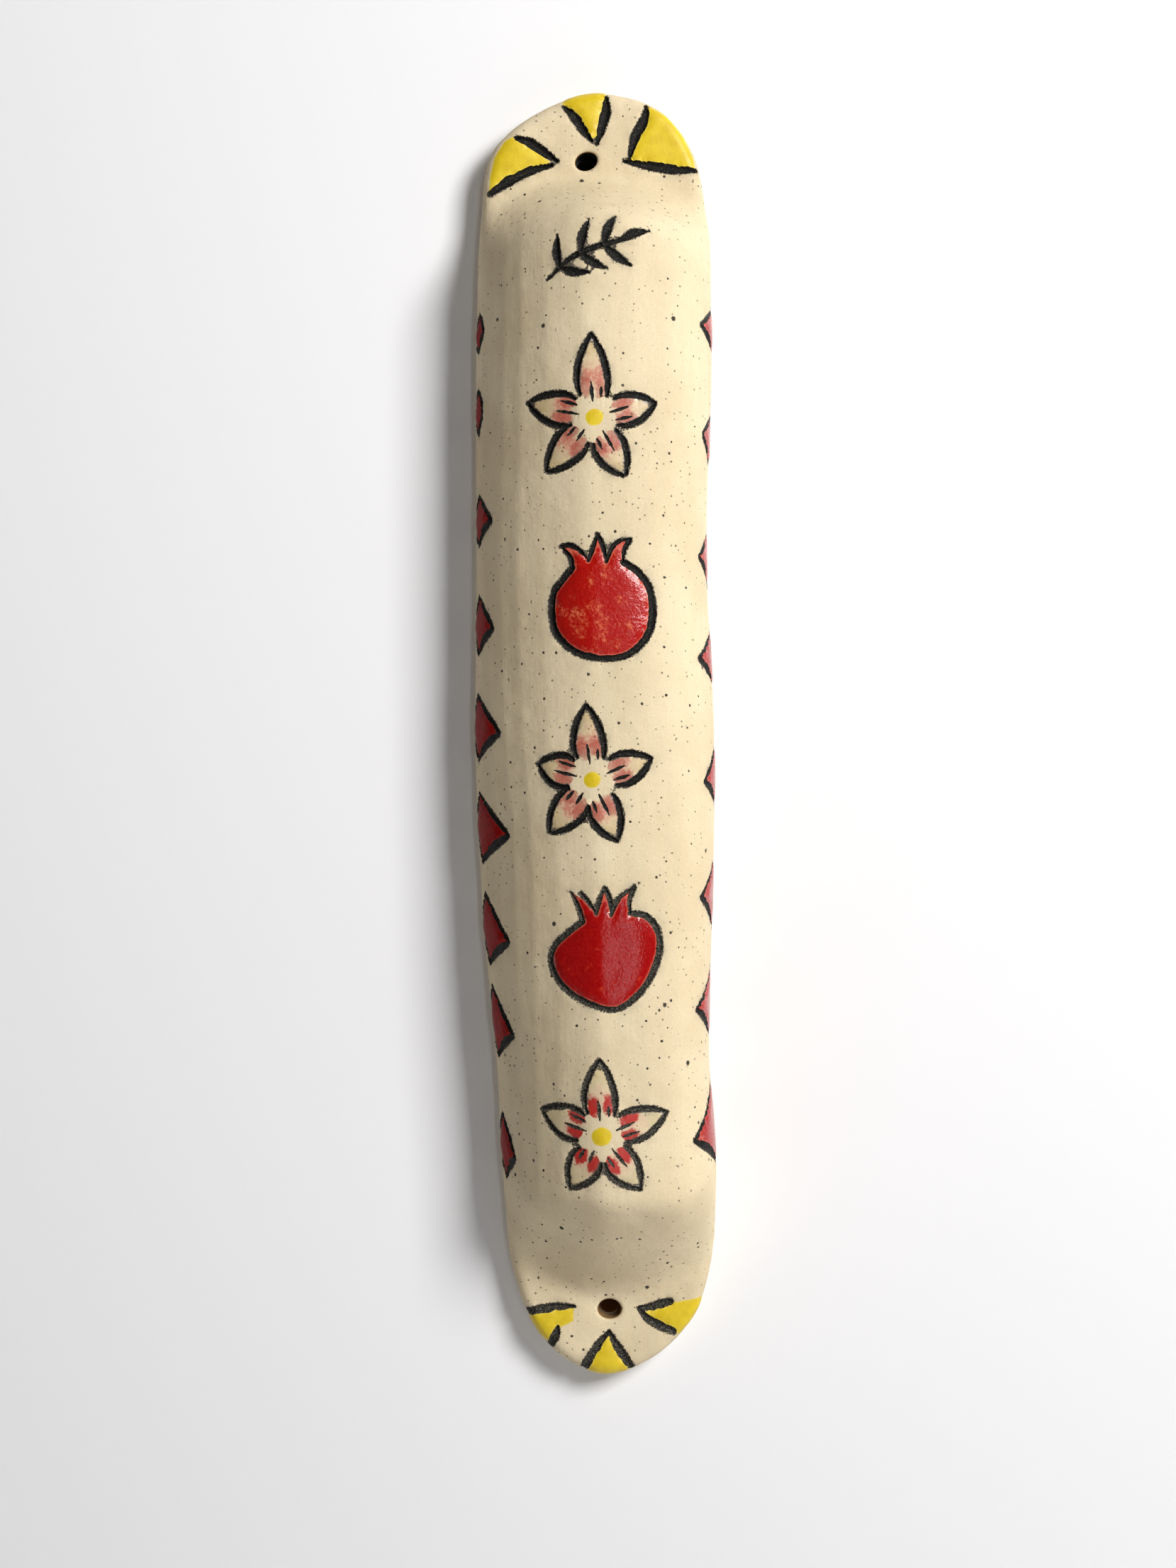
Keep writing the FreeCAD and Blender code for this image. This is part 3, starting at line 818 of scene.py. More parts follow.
def facets(places):
    """Shallow flats along the case, left by a knife. Their lines wander a little."""
    heights = np.column_stack([np.zeros(len(places)), places[:, 1]])
    wander = wobble(heights, WANDER_LENGTH, 7.0) * WANDER_WIDTH
    across = places[:, 0] + wander
    depth = np.zeros(len(places))
    for first, last, cut in zip(FACET_LINES, FACET_LINES[1:], FACET_DEPTHS):
        part = np.clip(share(across, first, last), 0, 1)
        depth -= cut * 4 * part * (1 - part)
    above = ease(share(places[:, 1], *FACETS_ABOVE))
    below = ease(share(places[:, 1], *FACETS_BELOW))
    return depth * (above * below)


def uneven(places):
    """Gentle hand-made waviness."""
    (height, length, shift), (fine_height, fine_length, fine_shift) = WAVES
    long_waves = height * wobble(places * np.array(WAVE_STRETCH), length, shift)
    return long_waves + fine_height * wobble(places, fine_length, fine_shift)


def relief(places, rim_distance):
    """Height of the surface above the smooth dome."""
    return (facets(places) + uneven(places)) * ease(rim_distance / CALM_RIM)


class Sheet:
    """The triangulated drawing bent over the dome, with what the pieces need of it."""

    def __init__(self):
        self.places, self.triangles, self.owner, rim = triangulate()
        self.names = [shape["piece"] for shape in fields + strokes]
        count = len(self.places)
        _, rim_distance = nearest(tree_of(along_rim(rim, rim[:, 4])), self.places)
        curves = tree_of(np.vstack([stroke["curve"] for stroke in strokes]))
        index, distance = nearest(curves, self.places)
        half, depth, clean = (
            np.concatenate([np.zeros(len(stroke["half"])) + stroke[what] for stroke in strokes])[index]
            for what in ("half", "depth", "clean"))
        self.from_line = distance - half + clean
        groove = -depth * np.maximum(1 - (distance / half) ** 2, 0) ** GROOVE_POWER
        self.glaze_rim = np.full(count, FAR)
        self.along, self.dab, self.stain, swell, mouth = (np.zeros(count) for _ in range(5))
        for number, field in enumerate(fields):
            used = np.unique(self.triangles[self.owner == number])
            if len(used) == 0:
                continue
            _, to_edge = nearest(tree_of(field["polygon"]), self.places[used])
            self.glaze_rim[used] = np.minimum(to_edge, np.maximum(self.from_line[used], 0))
            if field["petal"]:
                self.measure_petal(used, field["petal"])
            else:
                swell[used] = SWELL_HEIGHT * ease(self.glaze_rim[used] / SWELL_REACH) - SWELL_START
        base = on_dome(self.places)
        outward = normals(base, self.triangles)
        for hole in NAIL_HOLES:
            _, to_hole = nearest(tree_of(hole_rim(hole)), self.places)
            # Stain and painted shade at the mouths of the nail holes
            self.stain += hole_stain(hole[0]) * (to_hole < ON_EDGE)
            mouth -= MOUTH_DEPTH * (1 - np.sqrt(1 - (1 - np.clip(to_hole / MOUTH_ROUNDING, 0, 1)) ** 2))
        lift = relief(self.places, rim_distance) + groove + swell + mouth
        self.top = base + outward * lift[:, None]
        self.floor = self.top - outward * INLAY_THICKNESS

    def measure_petal(self, used, petal):
        """Share of the way along a petal, and how near its dabs of wash are: 1 in their middle."""
        centre, axis, length = petal
        middle = to_sheet([centre])[0]
        offset = self.places[used] - middle
        along = offset @ np.array(axis)
        aside = offset @ np.array([-axis[1], axis[0]])
        self.along[used] = along / length
        for number, (dab_along, dab_aside, half_length, half_width) in enumerate(DABS):
            shift = DAB_SHIFT * math.sin(17 * centre[1] + 29 * axis[0] + 2 * number)
            far = np.hypot((along - dab_along - shift) / half_length,
                           (aside - dab_aside) / half_width)
            self.dab[used] = np.maximum(self.dab[used], 1 - 0.5 * far)

    def triangles_of(self, piece):
        """Triangles that belong to one slip or glaze."""
        numbers = [number for number, name in enumerate(self.names) if name == piece]
        return self.triangles[np.isin(self.owner, numbers)]


def normals(points, triangles):
    """Outward direction at each point."""
    a, b, c = (points[triangles[:, corner]] for corner in range(3))
    face = np.cross(b - a, c - a)
    total = np.zeros_like(points)
    for corner in range(3):
        np.add.at(total, triangles[:, corner], face)
    return total / np.maximum(np.linalg.norm(total, axis=1), 1e-12)[:, None]


def open_edges(triangles):
    """Edges that only one triangle uses, in that triangle's direction."""
    pairs = np.vstack([triangles[:, [0, 1]], triangles[:, [1, 2]], triangles[:, [2, 0]]])
    known = {tuple(pair) for pair in pairs.tolist()}
    return [pair for pair in known if (pair[1], pair[0]) not in known]


def chains(edges):
    """Closed loops made of directed edges, the longest first."""
    following = dict(edges)
    loops = []
    while following:
        start, here = following.popitem()
        loop = [start]
        while here != start:
            loop.append(here)
            here = following.pop(here)
        loops.append(loop)
    return sorted(loops, key=len, reverse=True)


# ---------------------------------------------------------------- Meshes

SHARP_ANGLE = math.radians(50)


def add_object(name, data):
    """New object in the scene."""
    made = bpy.data.objects.new(name, data)
    bpy.context.scene.collection.objects.link(made)
    return made


def make_piece(name, body, material, points, faces, marks=None, nodes=()):
    """New piece from points in millimetres, with its body, material and the CAD nodes."""
    mesh = bpy.data.meshes.new(name)
    mesh.from_pydata((np.asarray(points) * MM).tolist(), [], faces)
    for mark, values in (marks or {}).items():
        layer = mesh.attributes.new(mark, "FLOAT", "POINT")
        layer.data.foreach_set("value", np.asarray(values, np.float32))
    work = bmesh.new()
    work.from_mesh(mesh)
    bmesh.ops.recalc_face_normals(work, faces=work.faces)
    work.to_mesh(mesh)
    work.free()
    mesh.shade_smooth()
    mesh.set_sharp_from_angle(angle=SHARP_ANGLE)
    mesh.materials.append(material)
    piece = add_object(name, mesh)
    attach(piece, body)
    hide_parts(*nodes)


def inlay_shell(sheet, triangles):
    """Closed shell of one slip or glaze: its face, its underside and its edges."""
    used = np.unique(triangles)
    place = {old: new for new, old in enumerate(used.tolist())}
    count = len(used)
    faces = []
    for a, b, c in triangles.tolist():
        a, b, c = place[a], place[b], place[c]
        faces.append((a, b, c))
        faces.append((c + count, b + count, a + count))
    for a, b in open_edges(triangles):
        a, b = place[a], place[b]
        faces.append((b, a, a + count, b + count))
    points = np.vstack([sheet.top[used], sheet.floor[used]])
    return points, faces, used


def chamber_loop(half_width, top, foot, corner):
    """Rounded rectangle at one depth of the chamber, anticlockwise seen from the front."""
    turn = np.linspace(0, math.pi / 2, CHAMBER_TURN_POINTS)
    right, left = half_width - corner, corner - half_width
    upper, lower = top - corner, foot + corner
    arcs = []
    for number, (x, z) in enumerate(((right, upper), (left, upper), (left, lower), (right, lower))):
        angle = turn + number * math.pi / 2
        arcs.append(np.column_stack([x + corner * np.cos(angle), z + corner * np.sin(angle)]))
    loop = []
    for arc, following, steps in zip(arcs, arcs[1:] + arcs[:1], CHAMBER_STRAIGHT_STEPS):
        loop += [arc, np.linspace(arc[-1], following[0], steps, endpoint=False)[1:]]
    return np.vstack(loop)


def inset(radius, into):
    """How far a rounded edge has turned in, at a depth into its radius."""
    return radius - math.sqrt(max(radius**2 - max(into, 0) ** 2, 0))


def chamber_loops():
    """The chamber's wall as loops from its mouth to its ceiling, as points in space."""
    mouth = np.linspace(0, math.pi / 2, LIP_STEPS + 1)
    ceiling = np.linspace(0, math.pi / 2, CEILING_STEPS + 1)
    depths = [LIP * (1 - math.cos(angle)) for angle in mouth] + list(CHAMBER_WALL_DEPTHS)
    depths += [CHAMBER_DEPTH - CHAMBER_CORNER + CHAMBER_CORNER * math.sin(angle) for angle in ceiling]
    loops = []
    for depth in depths:
        flare = inset(LIP, LIP - depth)
        narrowing = inset(CHAMBER_CORNER, depth - (CHAMBER_DEPTH - CHAMBER_CORNER))
        shortening = inset(CHAMBER_END_RADIUS, depth - (CHAMBER_DEPTH - CHAMBER_END_RADIUS))
        loop = chamber_loop(CHAMBER_HALF_WIDTH + flare - narrowing,
                            CHAMBER_TOP + flare - shortening, CHAMBER_FOOT - flare + shortening,
                            CHAMBER_PLAN_RADIUS + flare)
        loops.append(np.column_stack([loop[:, 0], np.full(len(loop), -depth), loop[:, 1]]))
    return loops


def flat_fill(points, loops):
    """Triangles that fill the area inside the first loop and outside the others, in plan."""
    ids = [index for loop in loops for index in loop]
    flat = [Vector((points[index][0], points[index][2])) for index in ids]
    result = geometry.delaunay_2d_cdt(flat, loop_edges(loops), [], 0, SAME_POINT, True)
    triangles = np.array(result[2])
    places = np.array([tuple(place) for place in result[0]])
    middles = places[triangles].mean(axis=1)
    outlines = [np.array([(points[index][0], points[index][2]) for index in loop]) for loop in loops]
    kept = inside(middles, outlines[0])
    for outline in outlines[1:]:
        kept &= ~inside(middles, outline)
    origin = [ids[found[0]] for found in result[3]]
    return [tuple(origin[corner] for corner in triangle) for triangle in triangles[kept].tolist()]


def bridge(first, second):
    """Band of faces between two loops with as many points each."""
    count = len(first)
    return [(first[step], first[(step + 1) % count], second[(step + 1) % count], second[step])
            for step in range(count)]


def case_mesh(sheet):
    """The clay case: front with pockets for the slips and glazes, walls, back and chamber."""
    count = len(sheet.places)
    points = [tuple(point) for point in sheet.top.tolist()]
    points += [tuple(point) for point in sheet.floor.tolist()]
    clay = sheet.triangles[sheet.owner < 0]
    pockets = sheet.triangles[sheet.owner >= 0]
    faces = [tuple(triangle) for triangle in clay.tolist()]
    faces += [tuple(corner + count for corner in triangle) for triangle in pockets.tolist()]
    whole_rims = {tuple(pair) for pair in open_edges(sheet.triangles)}
    for a, b in open_edges(pockets):
        if (a, b) in whole_rims:
            raise ValueError("a slip or glaze reaches the sheet's rim")
        faces.append((a, b, b + count, a + count))
    rims = chains(whole_rims)
    outer, holes = rims[0], rims[1:]

    # Stain and painted shade on the rings inside the nail holes
    stains = []

    def add_loop(loop, stain=0.0):
        points.extend(tuple(point) for point in loop.tolist())
        stains.extend([stain] * len(loop))
        return list(range(len(points) - len(loop), len(points)))

    back_loops = [outer]
    for loop in holes:
        ring = np.array([points[index] for index in loop])
        middle_z = 0.0 if ring[:, 2].mean() > -NAIL_SPACING / 2 else -NAIL_SPACING
        angle = np.arctan2(ring[:, 2] - middle_z, ring[:, 0])
        back = np.column_stack([HOLE_BACK_RADIUS * np.cos(angle), 0 * angle,
                                middle_z + HOLE_BACK_RADIUS * np.sin(angle)])
        here = loop
        for step in HOLE_RINGS:
            following = add_loop(ring * (1 - step) + back * step, hole_stain(middle_z))
            faces += bridge(here, following)
            here = following
        middle = np.array([0.0, 0.0, middle_z])
        clean_rim = add_loop(middle + (back - middle) * CLEAN_RIM)
        faces += bridge(here, clean_rim)
        back_loops.append(clean_rim)
    walls = [add_loop(loop) for loop in chamber_loops()]
    for first, second in zip(walls, walls[1:]):
        faces += bridge(first, second)
    faces += flat_fill(points, [walls[-1]])
    faces += flat_fill(points, back_loops + [walls[0]])
    added = len(points) - 2 * count
    marks = {"from_line": np.concatenate([np.tile(sheet.from_line, 2), np.full(added, FAR)]),
             "stain": np.concatenate([np.tile(sheet.stain, 2), stains])}
    return compact(points, faces, marks)


def compact(points, faces, marks):
    """The same mesh without unused points."""
    used = sorted({corner for face in faces for corner in face})
    place = {old: new for new, old in enumerate(used)}
    faces = [tuple(place[corner] for corner in face) for face in faces]
    return (np.array(points)[used], faces,
            {mark: np.asarray(values)[used] for mark, values in marks.items()})


# ---------------------------------------------------------------- Scroll

SCROLL_AXIS_Y = -6.4
WRAP_FOOT, WRAP_TOP = -133.7, -31.7
SLEEVE_RADIUS = 5.5
SLEEVE_THICKNESS = 0.2
PARCHMENT_FOOT, PARCHMENT_TOP = -132.7, -32.7
ROLL_INNER_RADIUS, ROLL_OUTER_RADIUS = 3.4, 5.0
PARCHMENT_THICKNESS = 0.25
PARCHMENT_LENGTH = 100.0
ROLL_TURNS = PARCHMENT_LENGTH / (math.pi * (ROLL_INNER_RADIUS + ROLL_OUTER_RADIUS))
STEPS_IN_TURN = 36
SCROLL_ROWS = 40
PARCHMENT_UNEVENNESS = 0.05
# Sleeve: turns round the roll, points in them, where its seam is, and its unevenness
SLEEVE_TURNS = 1.12
SLEEVE_STEPS = 80
SLEEVE_SEAM = math.radians(60)
SLEEVE_UNEVENNESS = 0.08
# Within the sleeve's thickness, how thick each layer is and how the outer one lies on the inner
SLEEVE_LAYER = 0.8
SLEEVE_INSET = 1.2
SLEEVE_OVERLAP = 0.9
# Length along the scroll over which its waves change
SCROLL_WAVE = 30


def rolled_sheet(angles, radii, thickness, foot, top, unevenness):
    """Closed thin sheet rolled round the scroll's axis, with slightly uneven ends."""
    points = []
    for row in range(SCROLL_ROWS + 1):
        part = row / SCROLL_ROWS
        z = foot + (top - foot) * part
        for offset in (-thickness / 2, thickness / 2):
            for angle, radius in zip(angles, radii):
                across, along = math.cos(angle), math.sin(angle)
                waver = unevenness * noise.noise(Vector((across, along, z / SCROLL_WAVE)))
                end_bend = unevenness * (0.5 - part) * noise.noise(Vector((angle, 4.0, 1.0)))
                distance = radius + offset + min(waver, 0)
                points.append((distance * across, SCROLL_AXIS_Y + distance * along, z + end_bend * 2))
    count = len(angles)

    def quad(*corners):
        return tuple((row * 2 + side) * count + step for row, side, step in corners)

    faces = []
    for row in range(SCROLL_ROWS):
        above = row + 1
        for step in range(count - 1):
            on = step + 1
            faces.append(quad((row, 0, step), (above, 0, step), (above, 0, on), (row, 0, on)))
            faces.append(quad((row, 1, step), (row, 1, on), (above, 1, on), (above, 1, step)))
        for step in (0, count - 1):
            faces.append(quad((row, 0, step), (row, 1, step), (above, 1, step), (above, 0, step)))
    for row in (0, SCROLL_ROWS):
        for step in range(count - 1):
            faces.append(quad((row, 0, step), (row, 0, step + 1), (row, 1, step + 1), (row, 1, step)))
    return points, faces


def make_scroll(parchment, paper):
    """The rolled parchment and its paper sleeve, which laps over itself at the seam."""
    steps = round(ROLL_TURNS * STEPS_IN_TURN)
    angles = [2 * math.pi * ROLL_TURNS * step / steps for step in range(steps + 1)]
    radii = [ROLL_INNER_RADIUS + (ROLL_OUTER_RADIUS - ROLL_INNER_RADIUS) * step / steps
             for step in range(steps + 1)]
    points, faces = rolled_sheet(angles, radii, PARCHMENT_THICKNESS, PARCHMENT_FOOT,
                                 PARCHMENT_TOP, PARCHMENT_UNEVENNESS)
    make_piece("parchment_scroll_rolled", "scroll", parchment, points, faces,
               nodes=("parchment_scroll",))
    parts = [step / SLEEVE_STEPS for step in range(SLEEVE_STEPS + 1)]
    angles = [SLEEVE_SEAM + 2 * math.pi * SLEEVE_TURNS * part for part in parts]
    thin = SLEEVE_THICKNESS / 2
    radii = [SLEEVE_RADIUS - SLEEVE_INSET * thin - thin * SLEEVE_OVERLAP * (1 - part) for part in parts]
    points, faces = rolled_sheet(angles, radii, thin * SLEEVE_LAYER, WRAP_FOOT, WRAP_TOP,
                                 SLEEVE_UNEVENNESS)
    make_piece("scroll_wrap_sleeve", "scroll", paper, points, faces,
               nodes=("scroll_wrap",))


# ---------------------------------------------------------------- Materials

class Finish:
    """A material, with short ways to add its nodes. Textures work in millimetres."""

    def __init__(self, name, **sockets):
        self.material = bpy.data.materials.new(name)
        self.material.use_nodes = True
        self.tree = self.material.node_tree
        self.shader = self.tree.nodes["Principled BSDF"]
        for socket, value in sockets.items():
            self.shader.inputs[socket.replace("_", " ")].default_value = value
        self.place = self.add("TexCoord").outputs["Object"]

    def add(self, kind, inputs=None, **settings):
        node = self.tree.nodes.new("ShaderNode" + kind)
        for key, value in settings.items():
            setattr(node, key, value)
        for key, value in (inputs or {}).items():
            self.put(node.inputs[key], value)
        return node

    def put(self, socket, value):
        if isinstance(value, bpy.types.NodeSocket):
            self.tree.links.new(value, socket)
        else:
            socket.default_value = value

    def space(self, stretch=(1.0, 1.0, 1.0), shift=(0.0, 0.0, 0.0)):
        """Texture place in millimetres, stretched."""
        inputs = {"Vector": self.place, "Scale": [part / MM for part in stretch], "Location": shift}
        return self.add("Mapping", inputs).outputs[0]

    def noise(self, scale, detail=3.0, roughness=0.5, stretch=(1.0, 1.0, 1.0)):
        inputs = {"Vector": self.space(stretch), "Scale": scale, "Detail": detail,
                  "Roughness": roughness}
        return self.add("TexNoise", inputs).outputs["Fac"]

    def math(self, operation, first, second):
        return self.add("Math", {0: first, 1: second}, operation=operation).outputs[0]

    def times(self, first, second):
        return self.math("MULTIPLY", first, second)

    def plus(self, first, second):
        return self.math("ADD", first, second)

    def minus(self, first, second):
        return self.math("SUBTRACT", first, second)

    def ramp(self, value, low, high, low_to=0.0, high_to=1.0):
        """Smooth step of a value from low to high."""
        inputs = {"Value": value, "From Min": low, "From Max": high, "To Min": low_to,
                  "To Max": high_to}
        return self.add("MapRange", inputs, interpolation_type="SMOOTHSTEP").outputs["Result"]

    def mix(self, part, first, second, blend="MIX"):
        node = self.add("Mix", data_type="RGBA", blend_type=blend)
        self.put(node.inputs["Factor"], part)
        self.put(node.inputs[6], first)
        self.put(node.inputs[7], second)
        return node.outputs[2]

    def mark(self, name):
        """A value that the mesh carries at its points."""
        return self.add("Attribute", attribute_name=name, attribute_type="GEOMETRY").outputs["Fac"]

    def bump(self, height, distance, strength=1.0, before=None):
        inputs = {"Height": height, "Distance": distance * MM, "Strength": strength}
        if before is not None:
            inputs["Normal"] = before
        return self.add("Bump", inputs).outputs[0]

    def finish(self, colour, roughness=None, normal=None):
        self.put(self.shader.inputs["Base Color"], colour)
        if roughness is not None:
            self.put(self.shader.inputs["Roughness"], roughness)
        if normal is not None:
            self.put(self.shader.inputs["Normal"], normal)
        return self.material


CLAY_LIGHT = (0.78, 0.66, 0.45, 1)
CLAY_DARK = (0.69, 0.57, 0.375, 1)
CLAY_WARM = (0.74, 0.59, 0.375, 1)
CLAY_GRIT = (0.48, 0.39, 0.25, 1)
SPECK = (0.05, 0.042, 0.032, 1)
BLACK = (0.004, 0.004, 0.0035, 1)
# Brown inside the bottom nail hole: part stain, part painted shade
HOLE_BROWN_STAIN_AND_SHADE = (0.20, 0.11, 0.03, 1)
SLIP_HAZE = (0.22, 0.20, 0.16, 1)
SLIP_WORN = (0.17, 0.155, 0.12, 1)
SLIP_CRUST = (0.03, 0.028, 0.022, 1)
RED_MOTTLE = (0.46, 0.010, 0.006, 1)
RED_EDGE = (0.72, 0.16, 0.10, 1)
YELLOW = (0.72, 0.53, 0.012, 1)
YELLOW_DEEP = (0.64, 0.45, 0.006, 1)
YELLOW_GRAIN = (0.50, 0.36, 0.03, 1)
YELLOW_EDGE = (0.80, 0.66, 0.14, 1)
# Each glaze on its own: deep colour, thin colour, thin part, orange peel, edge share, gloss
RED_GLAZES = {
    "upper": ((0.38, 0.004, 0.002, 1), (0.72, 0.16, 0.07, 1), 0.10, 2.2, 0.7, 1.0),
    "lower": ((0.30, 0.001, 0.002, 1), (0.56, 0.05, 0.02, 1), 0.0, 1.0, 0.6, 1.0),
    # Painted shade: the left diamonds' glaze is a darker, duller copy of the red, for the shaded left
    # side
    "left": ((0.20, 0.0006, 0.001, 1), (0.32, 0.02, 0.015, 1), 0.0, 1.4, 0.1, 0.08),
    "right": ((0.34, 0.02, 0.02, 1), (0.56, 0.14, 0.11, 1), 0.12, 1.4, 0.3, 0.5),
}
# Washes: pink, its strength, colour of the dabs, their strength, colour of the petals' tips
PALE_WASH = ((0.54, 0.15, 0.10, 1), 0.9, (0.40, 0.05, 0.03, 1), 0.6, (0.58, 0.42, 0.20, 1))
STRONG_WASH = ((0.62, 0.26, 0.17, 1), 0.4, (0.46, 0.004, 0.003, 1), 0.97, (0.62, 0.50, 0.27, 1))
# How much clay shows through the slip
FRESH, DRY = 0.15, 0.75
# Clay's dark grains: cell, smallest and largest radius, share of cells without one, and shift
SMALL_GRAINS = (0.8, 0.06, 0.15, 0.25, (3.1, 7.7, 1.3))
MIDDLE_GRAINS = (1.5, 0.09, 0.20, 0.30, (7.9, 4.1, 2.6))
LARGE_GRAINS = (2.7, 0.14, 0.34, 0.55, (11.2, 2.9, 8.1))
# Scroll: light and dark colour, and the fibres' colour
PARCHMENT_COLOURS = ((0.80, 0.68, 0.46, 1), (0.68, 0.54, 0.33, 1), (0.52, 0.40, 0.24, 1))
PAPER_COLOURS = ((0.84, 0.82, 0.76, 1), (0.76, 0.73, 0.65, 1), (0.62, 0.59, 0.51, 1))


def specks(finish, cell, smallest, largest, kept, shift):
    """Dark grains of the clay body: 1 in a grain and 0 elsewhere."""
    grain = finish.add("TexVoronoi", {"Vector": finish.space(shift=shift), "Scale": 1 / cell,
                                      "Randomness": 1.0})
    pick = finish.add("SeparateColor", {"Color": grain.outputs["Color"]})
    size = finish.ramp(pick.outputs["Red"], kept, 1.0, smallest / cell, largest / cell)
    present = finish.math("GREATER_THAN", pick.outputs["Red"], kept)
    ragged = finish.times(finish.minus(finish.noise(6.0, 2.0), 0.5), 0.10)
    distance = finish.plus(grain.outputs["Distance"], ragged)
    inside_grain = finish.ramp(finish.math("DIVIDE", distance, size), 1.15, 0.7)
    return finish.times(inside_grain, present)


def clay_colour(finish):
    """Colour of the bare clay, and how much of a dark grain shows."""
    cloud = finish.noise(0.09, 4.0, 0.55)
    tone = finish.mix(finish.ramp(cloud, 0.35, 0.68), CLAY_LIGHT, CLAY_DARK)
    streak = finish.noise(1.1, 3.0, 0.6, stretch=(1.0, 1.0, 0.07))
    tone = finish.mix(finish.times(finish.ramp(streak, 0.45, 0.75), 0.45), tone, CLAY_WARM)
    grit = finish.noise(7.0, 3.0, 0.7)
    tone = finish.mix(finish.ramp(grit, 0.35, 0.75, 0.0, 0.42), tone, CLAY_GRIT)
    small = finish.times(specks(finish, *SMALL_GRAINS), 0.7)
    larger = finish.math("MAXIMUM", specks(finish, *MIDDLE_GRAINS), specks(finish, *LARGE_GRAINS))
    dark = finish.math("MAXIMUM", small, larger)
    return finish.mix(dark, tone, SPECK), dark


def soot(finish, colour):
    """Slip that was smudged and scattered round the incised lines."""
    gap = finish.mark("from_line")
    grain = finish.noise(4.2, 4.0, 0.75)
    patches = finish.ramp(finish.noise(0.35, 2.0), 0.40, 0.66)
    reach = finish.ramp(gap, 0.0, 0.40, 0.62, 0.26)
    crumbs = finish.ramp(finish.minus(reach, grain), 0.0, 0.08)
    colour = finish.mix(finish.times(crumbs, finish.ramp(gap, 0.42, 0.10)), colour, SPECK)
    far_reach = finish.times(finish.ramp(gap, 1.7, 0.1, 0.0, 0.44), patches)
    crumbling = finish.minus(far_reach, finish.noise(8.0, 3.0, 0.8))
    scattered = finish.ramp(crumbling, -0.02, 0.05)
    colour = finish.mix(finish.times(scattered, 0.9), colour, SPECK)
    haze = finish.times(finish.ramp(gap, 1.4, 0.0), patches)
    return finish.mix(finish.times(haze, 0.20), colour, SLIP_HAZE)


def clay_bump(finish, dark):
    """Brush marks along the case, fine grit, and pits at the grains."""
    brush = finish.noise(2.4, 3.0, 0.6, stretch=(1.0, 1.0, 0.10))
    normal = finish.bump(brush, 0.05, 0.55)
    normal = finish.bump(finish.noise(9.0, 3.0, 0.7), 0.03, 0.6, normal)
    normal = finish.bump(finish.noise(0.55, 3.0, 0.55), 0.22, 0.5, normal)
    return finish.bump(finish.minus(1.0, dark), 0.05, 0.6, normal)


def clay_material():
    """Bare clay, darkened inside the nail holes by stain and by painted shade."""
    finish = Finish("speckled_clay", Specular_IOR_Level=0.25)
    colour, dark = clay_colour(finish)
    roughness = finish.ramp(finish.noise(3.0, 2.0), 0.3, 0.7, 0.78, 0.92)
    # Stain and painted shade: the nail holes are painted black in the top one and brown in the bottom
    # one
    stain = finish.mark("stain")
    colour = finish.mix(finish.ramp(stain, 0.0, 0.5), soot(finish, colour), HOLE_BROWN_STAIN_AND_SHADE)
    colour = finish.mix(finish.ramp(stain, 0.55, 1.0), colour, BLACK)
    return finish.finish(colour, roughness, clay_bump(finish, dark))


def slip_material(name, dryness):
    """Matt black slip. The drier it is, the more clay shows through as grey grains."""
    finish = Finish(name, Specular_IOR_Level=0.2)
    grain = finish.noise(5.5, 4.0, 0.7)
    worn = finish.ramp(grain, 0.54 - 0.14 * dryness, 0.72 - 0.10 * dryness, 0.0, 0.5 + 0.4 * dryness)
    colour = finish.mix(worn, BLACK, SLIP_WORN)
    crust = finish.noise(2.0, 3.0, 0.6)
    colour = finish.mix(finish.ramp(crust, 0.5, 0.8, 0.0, 0.4), colour, SLIP_CRUST)
    normal = finish.bump(grain, 0.10, 0.8)
    return finish.finish(colour, finish.ramp(crust, 0.3, 0.7, 0.5, 0.8), normal)


def red_material(name, deep, thin, thin_part, peel, edge_share, gloss):
    """Glossy red glaze: deep where it pools, pale and mottled at its edge and where it is thin."""
    finish = Finish(name, Specular_IOR_Level=0.25 * gloss, Coat_Weight=0.5 * gloss,
                    Coat_Roughness=0.05)
    blotch = finish.noise(0.42, 4.0, 0.6)
    mottle = finish.noise(2.6, 4.0, 0.7)
    colour = finish.mix(finish.ramp(mottle, 0.35, 0.7, 0.0, 0.5), deep, RED_MOTTLE)
    thin_area = finish.ramp(blotch, 0.62 - thin_part, 0.80 - thin_part)
    grains = finish.ramp(mottle, 0.40, 0.62)
    colour = finish.mix(finish.times(thin_area, grains), colour, thin)
    rim = finish.plus(finish.mark("glaze_rim"), finish.times(mottle, 0.35))
    edge = finish.times(finish.ramp(rim, 0.42, 0.16), edge_share)
    colour = finish.mix(edge, colour, RED_EDGE)
    normal = finish.bump(finish.noise(2.3, 2.0, 0.5), 0.05 * peel, 0.7)
    normal = finish.bump(finish.noise(6.5, 2.0, 0.6), 0.02 * peel, 0.7, normal)
    finish.put(finish.shader.inputs["Coat Normal"], normal)
    return finish.finish(colour, finish.ramp(mottle, 0.3, 0.7, 0.14, 0.24), normal)


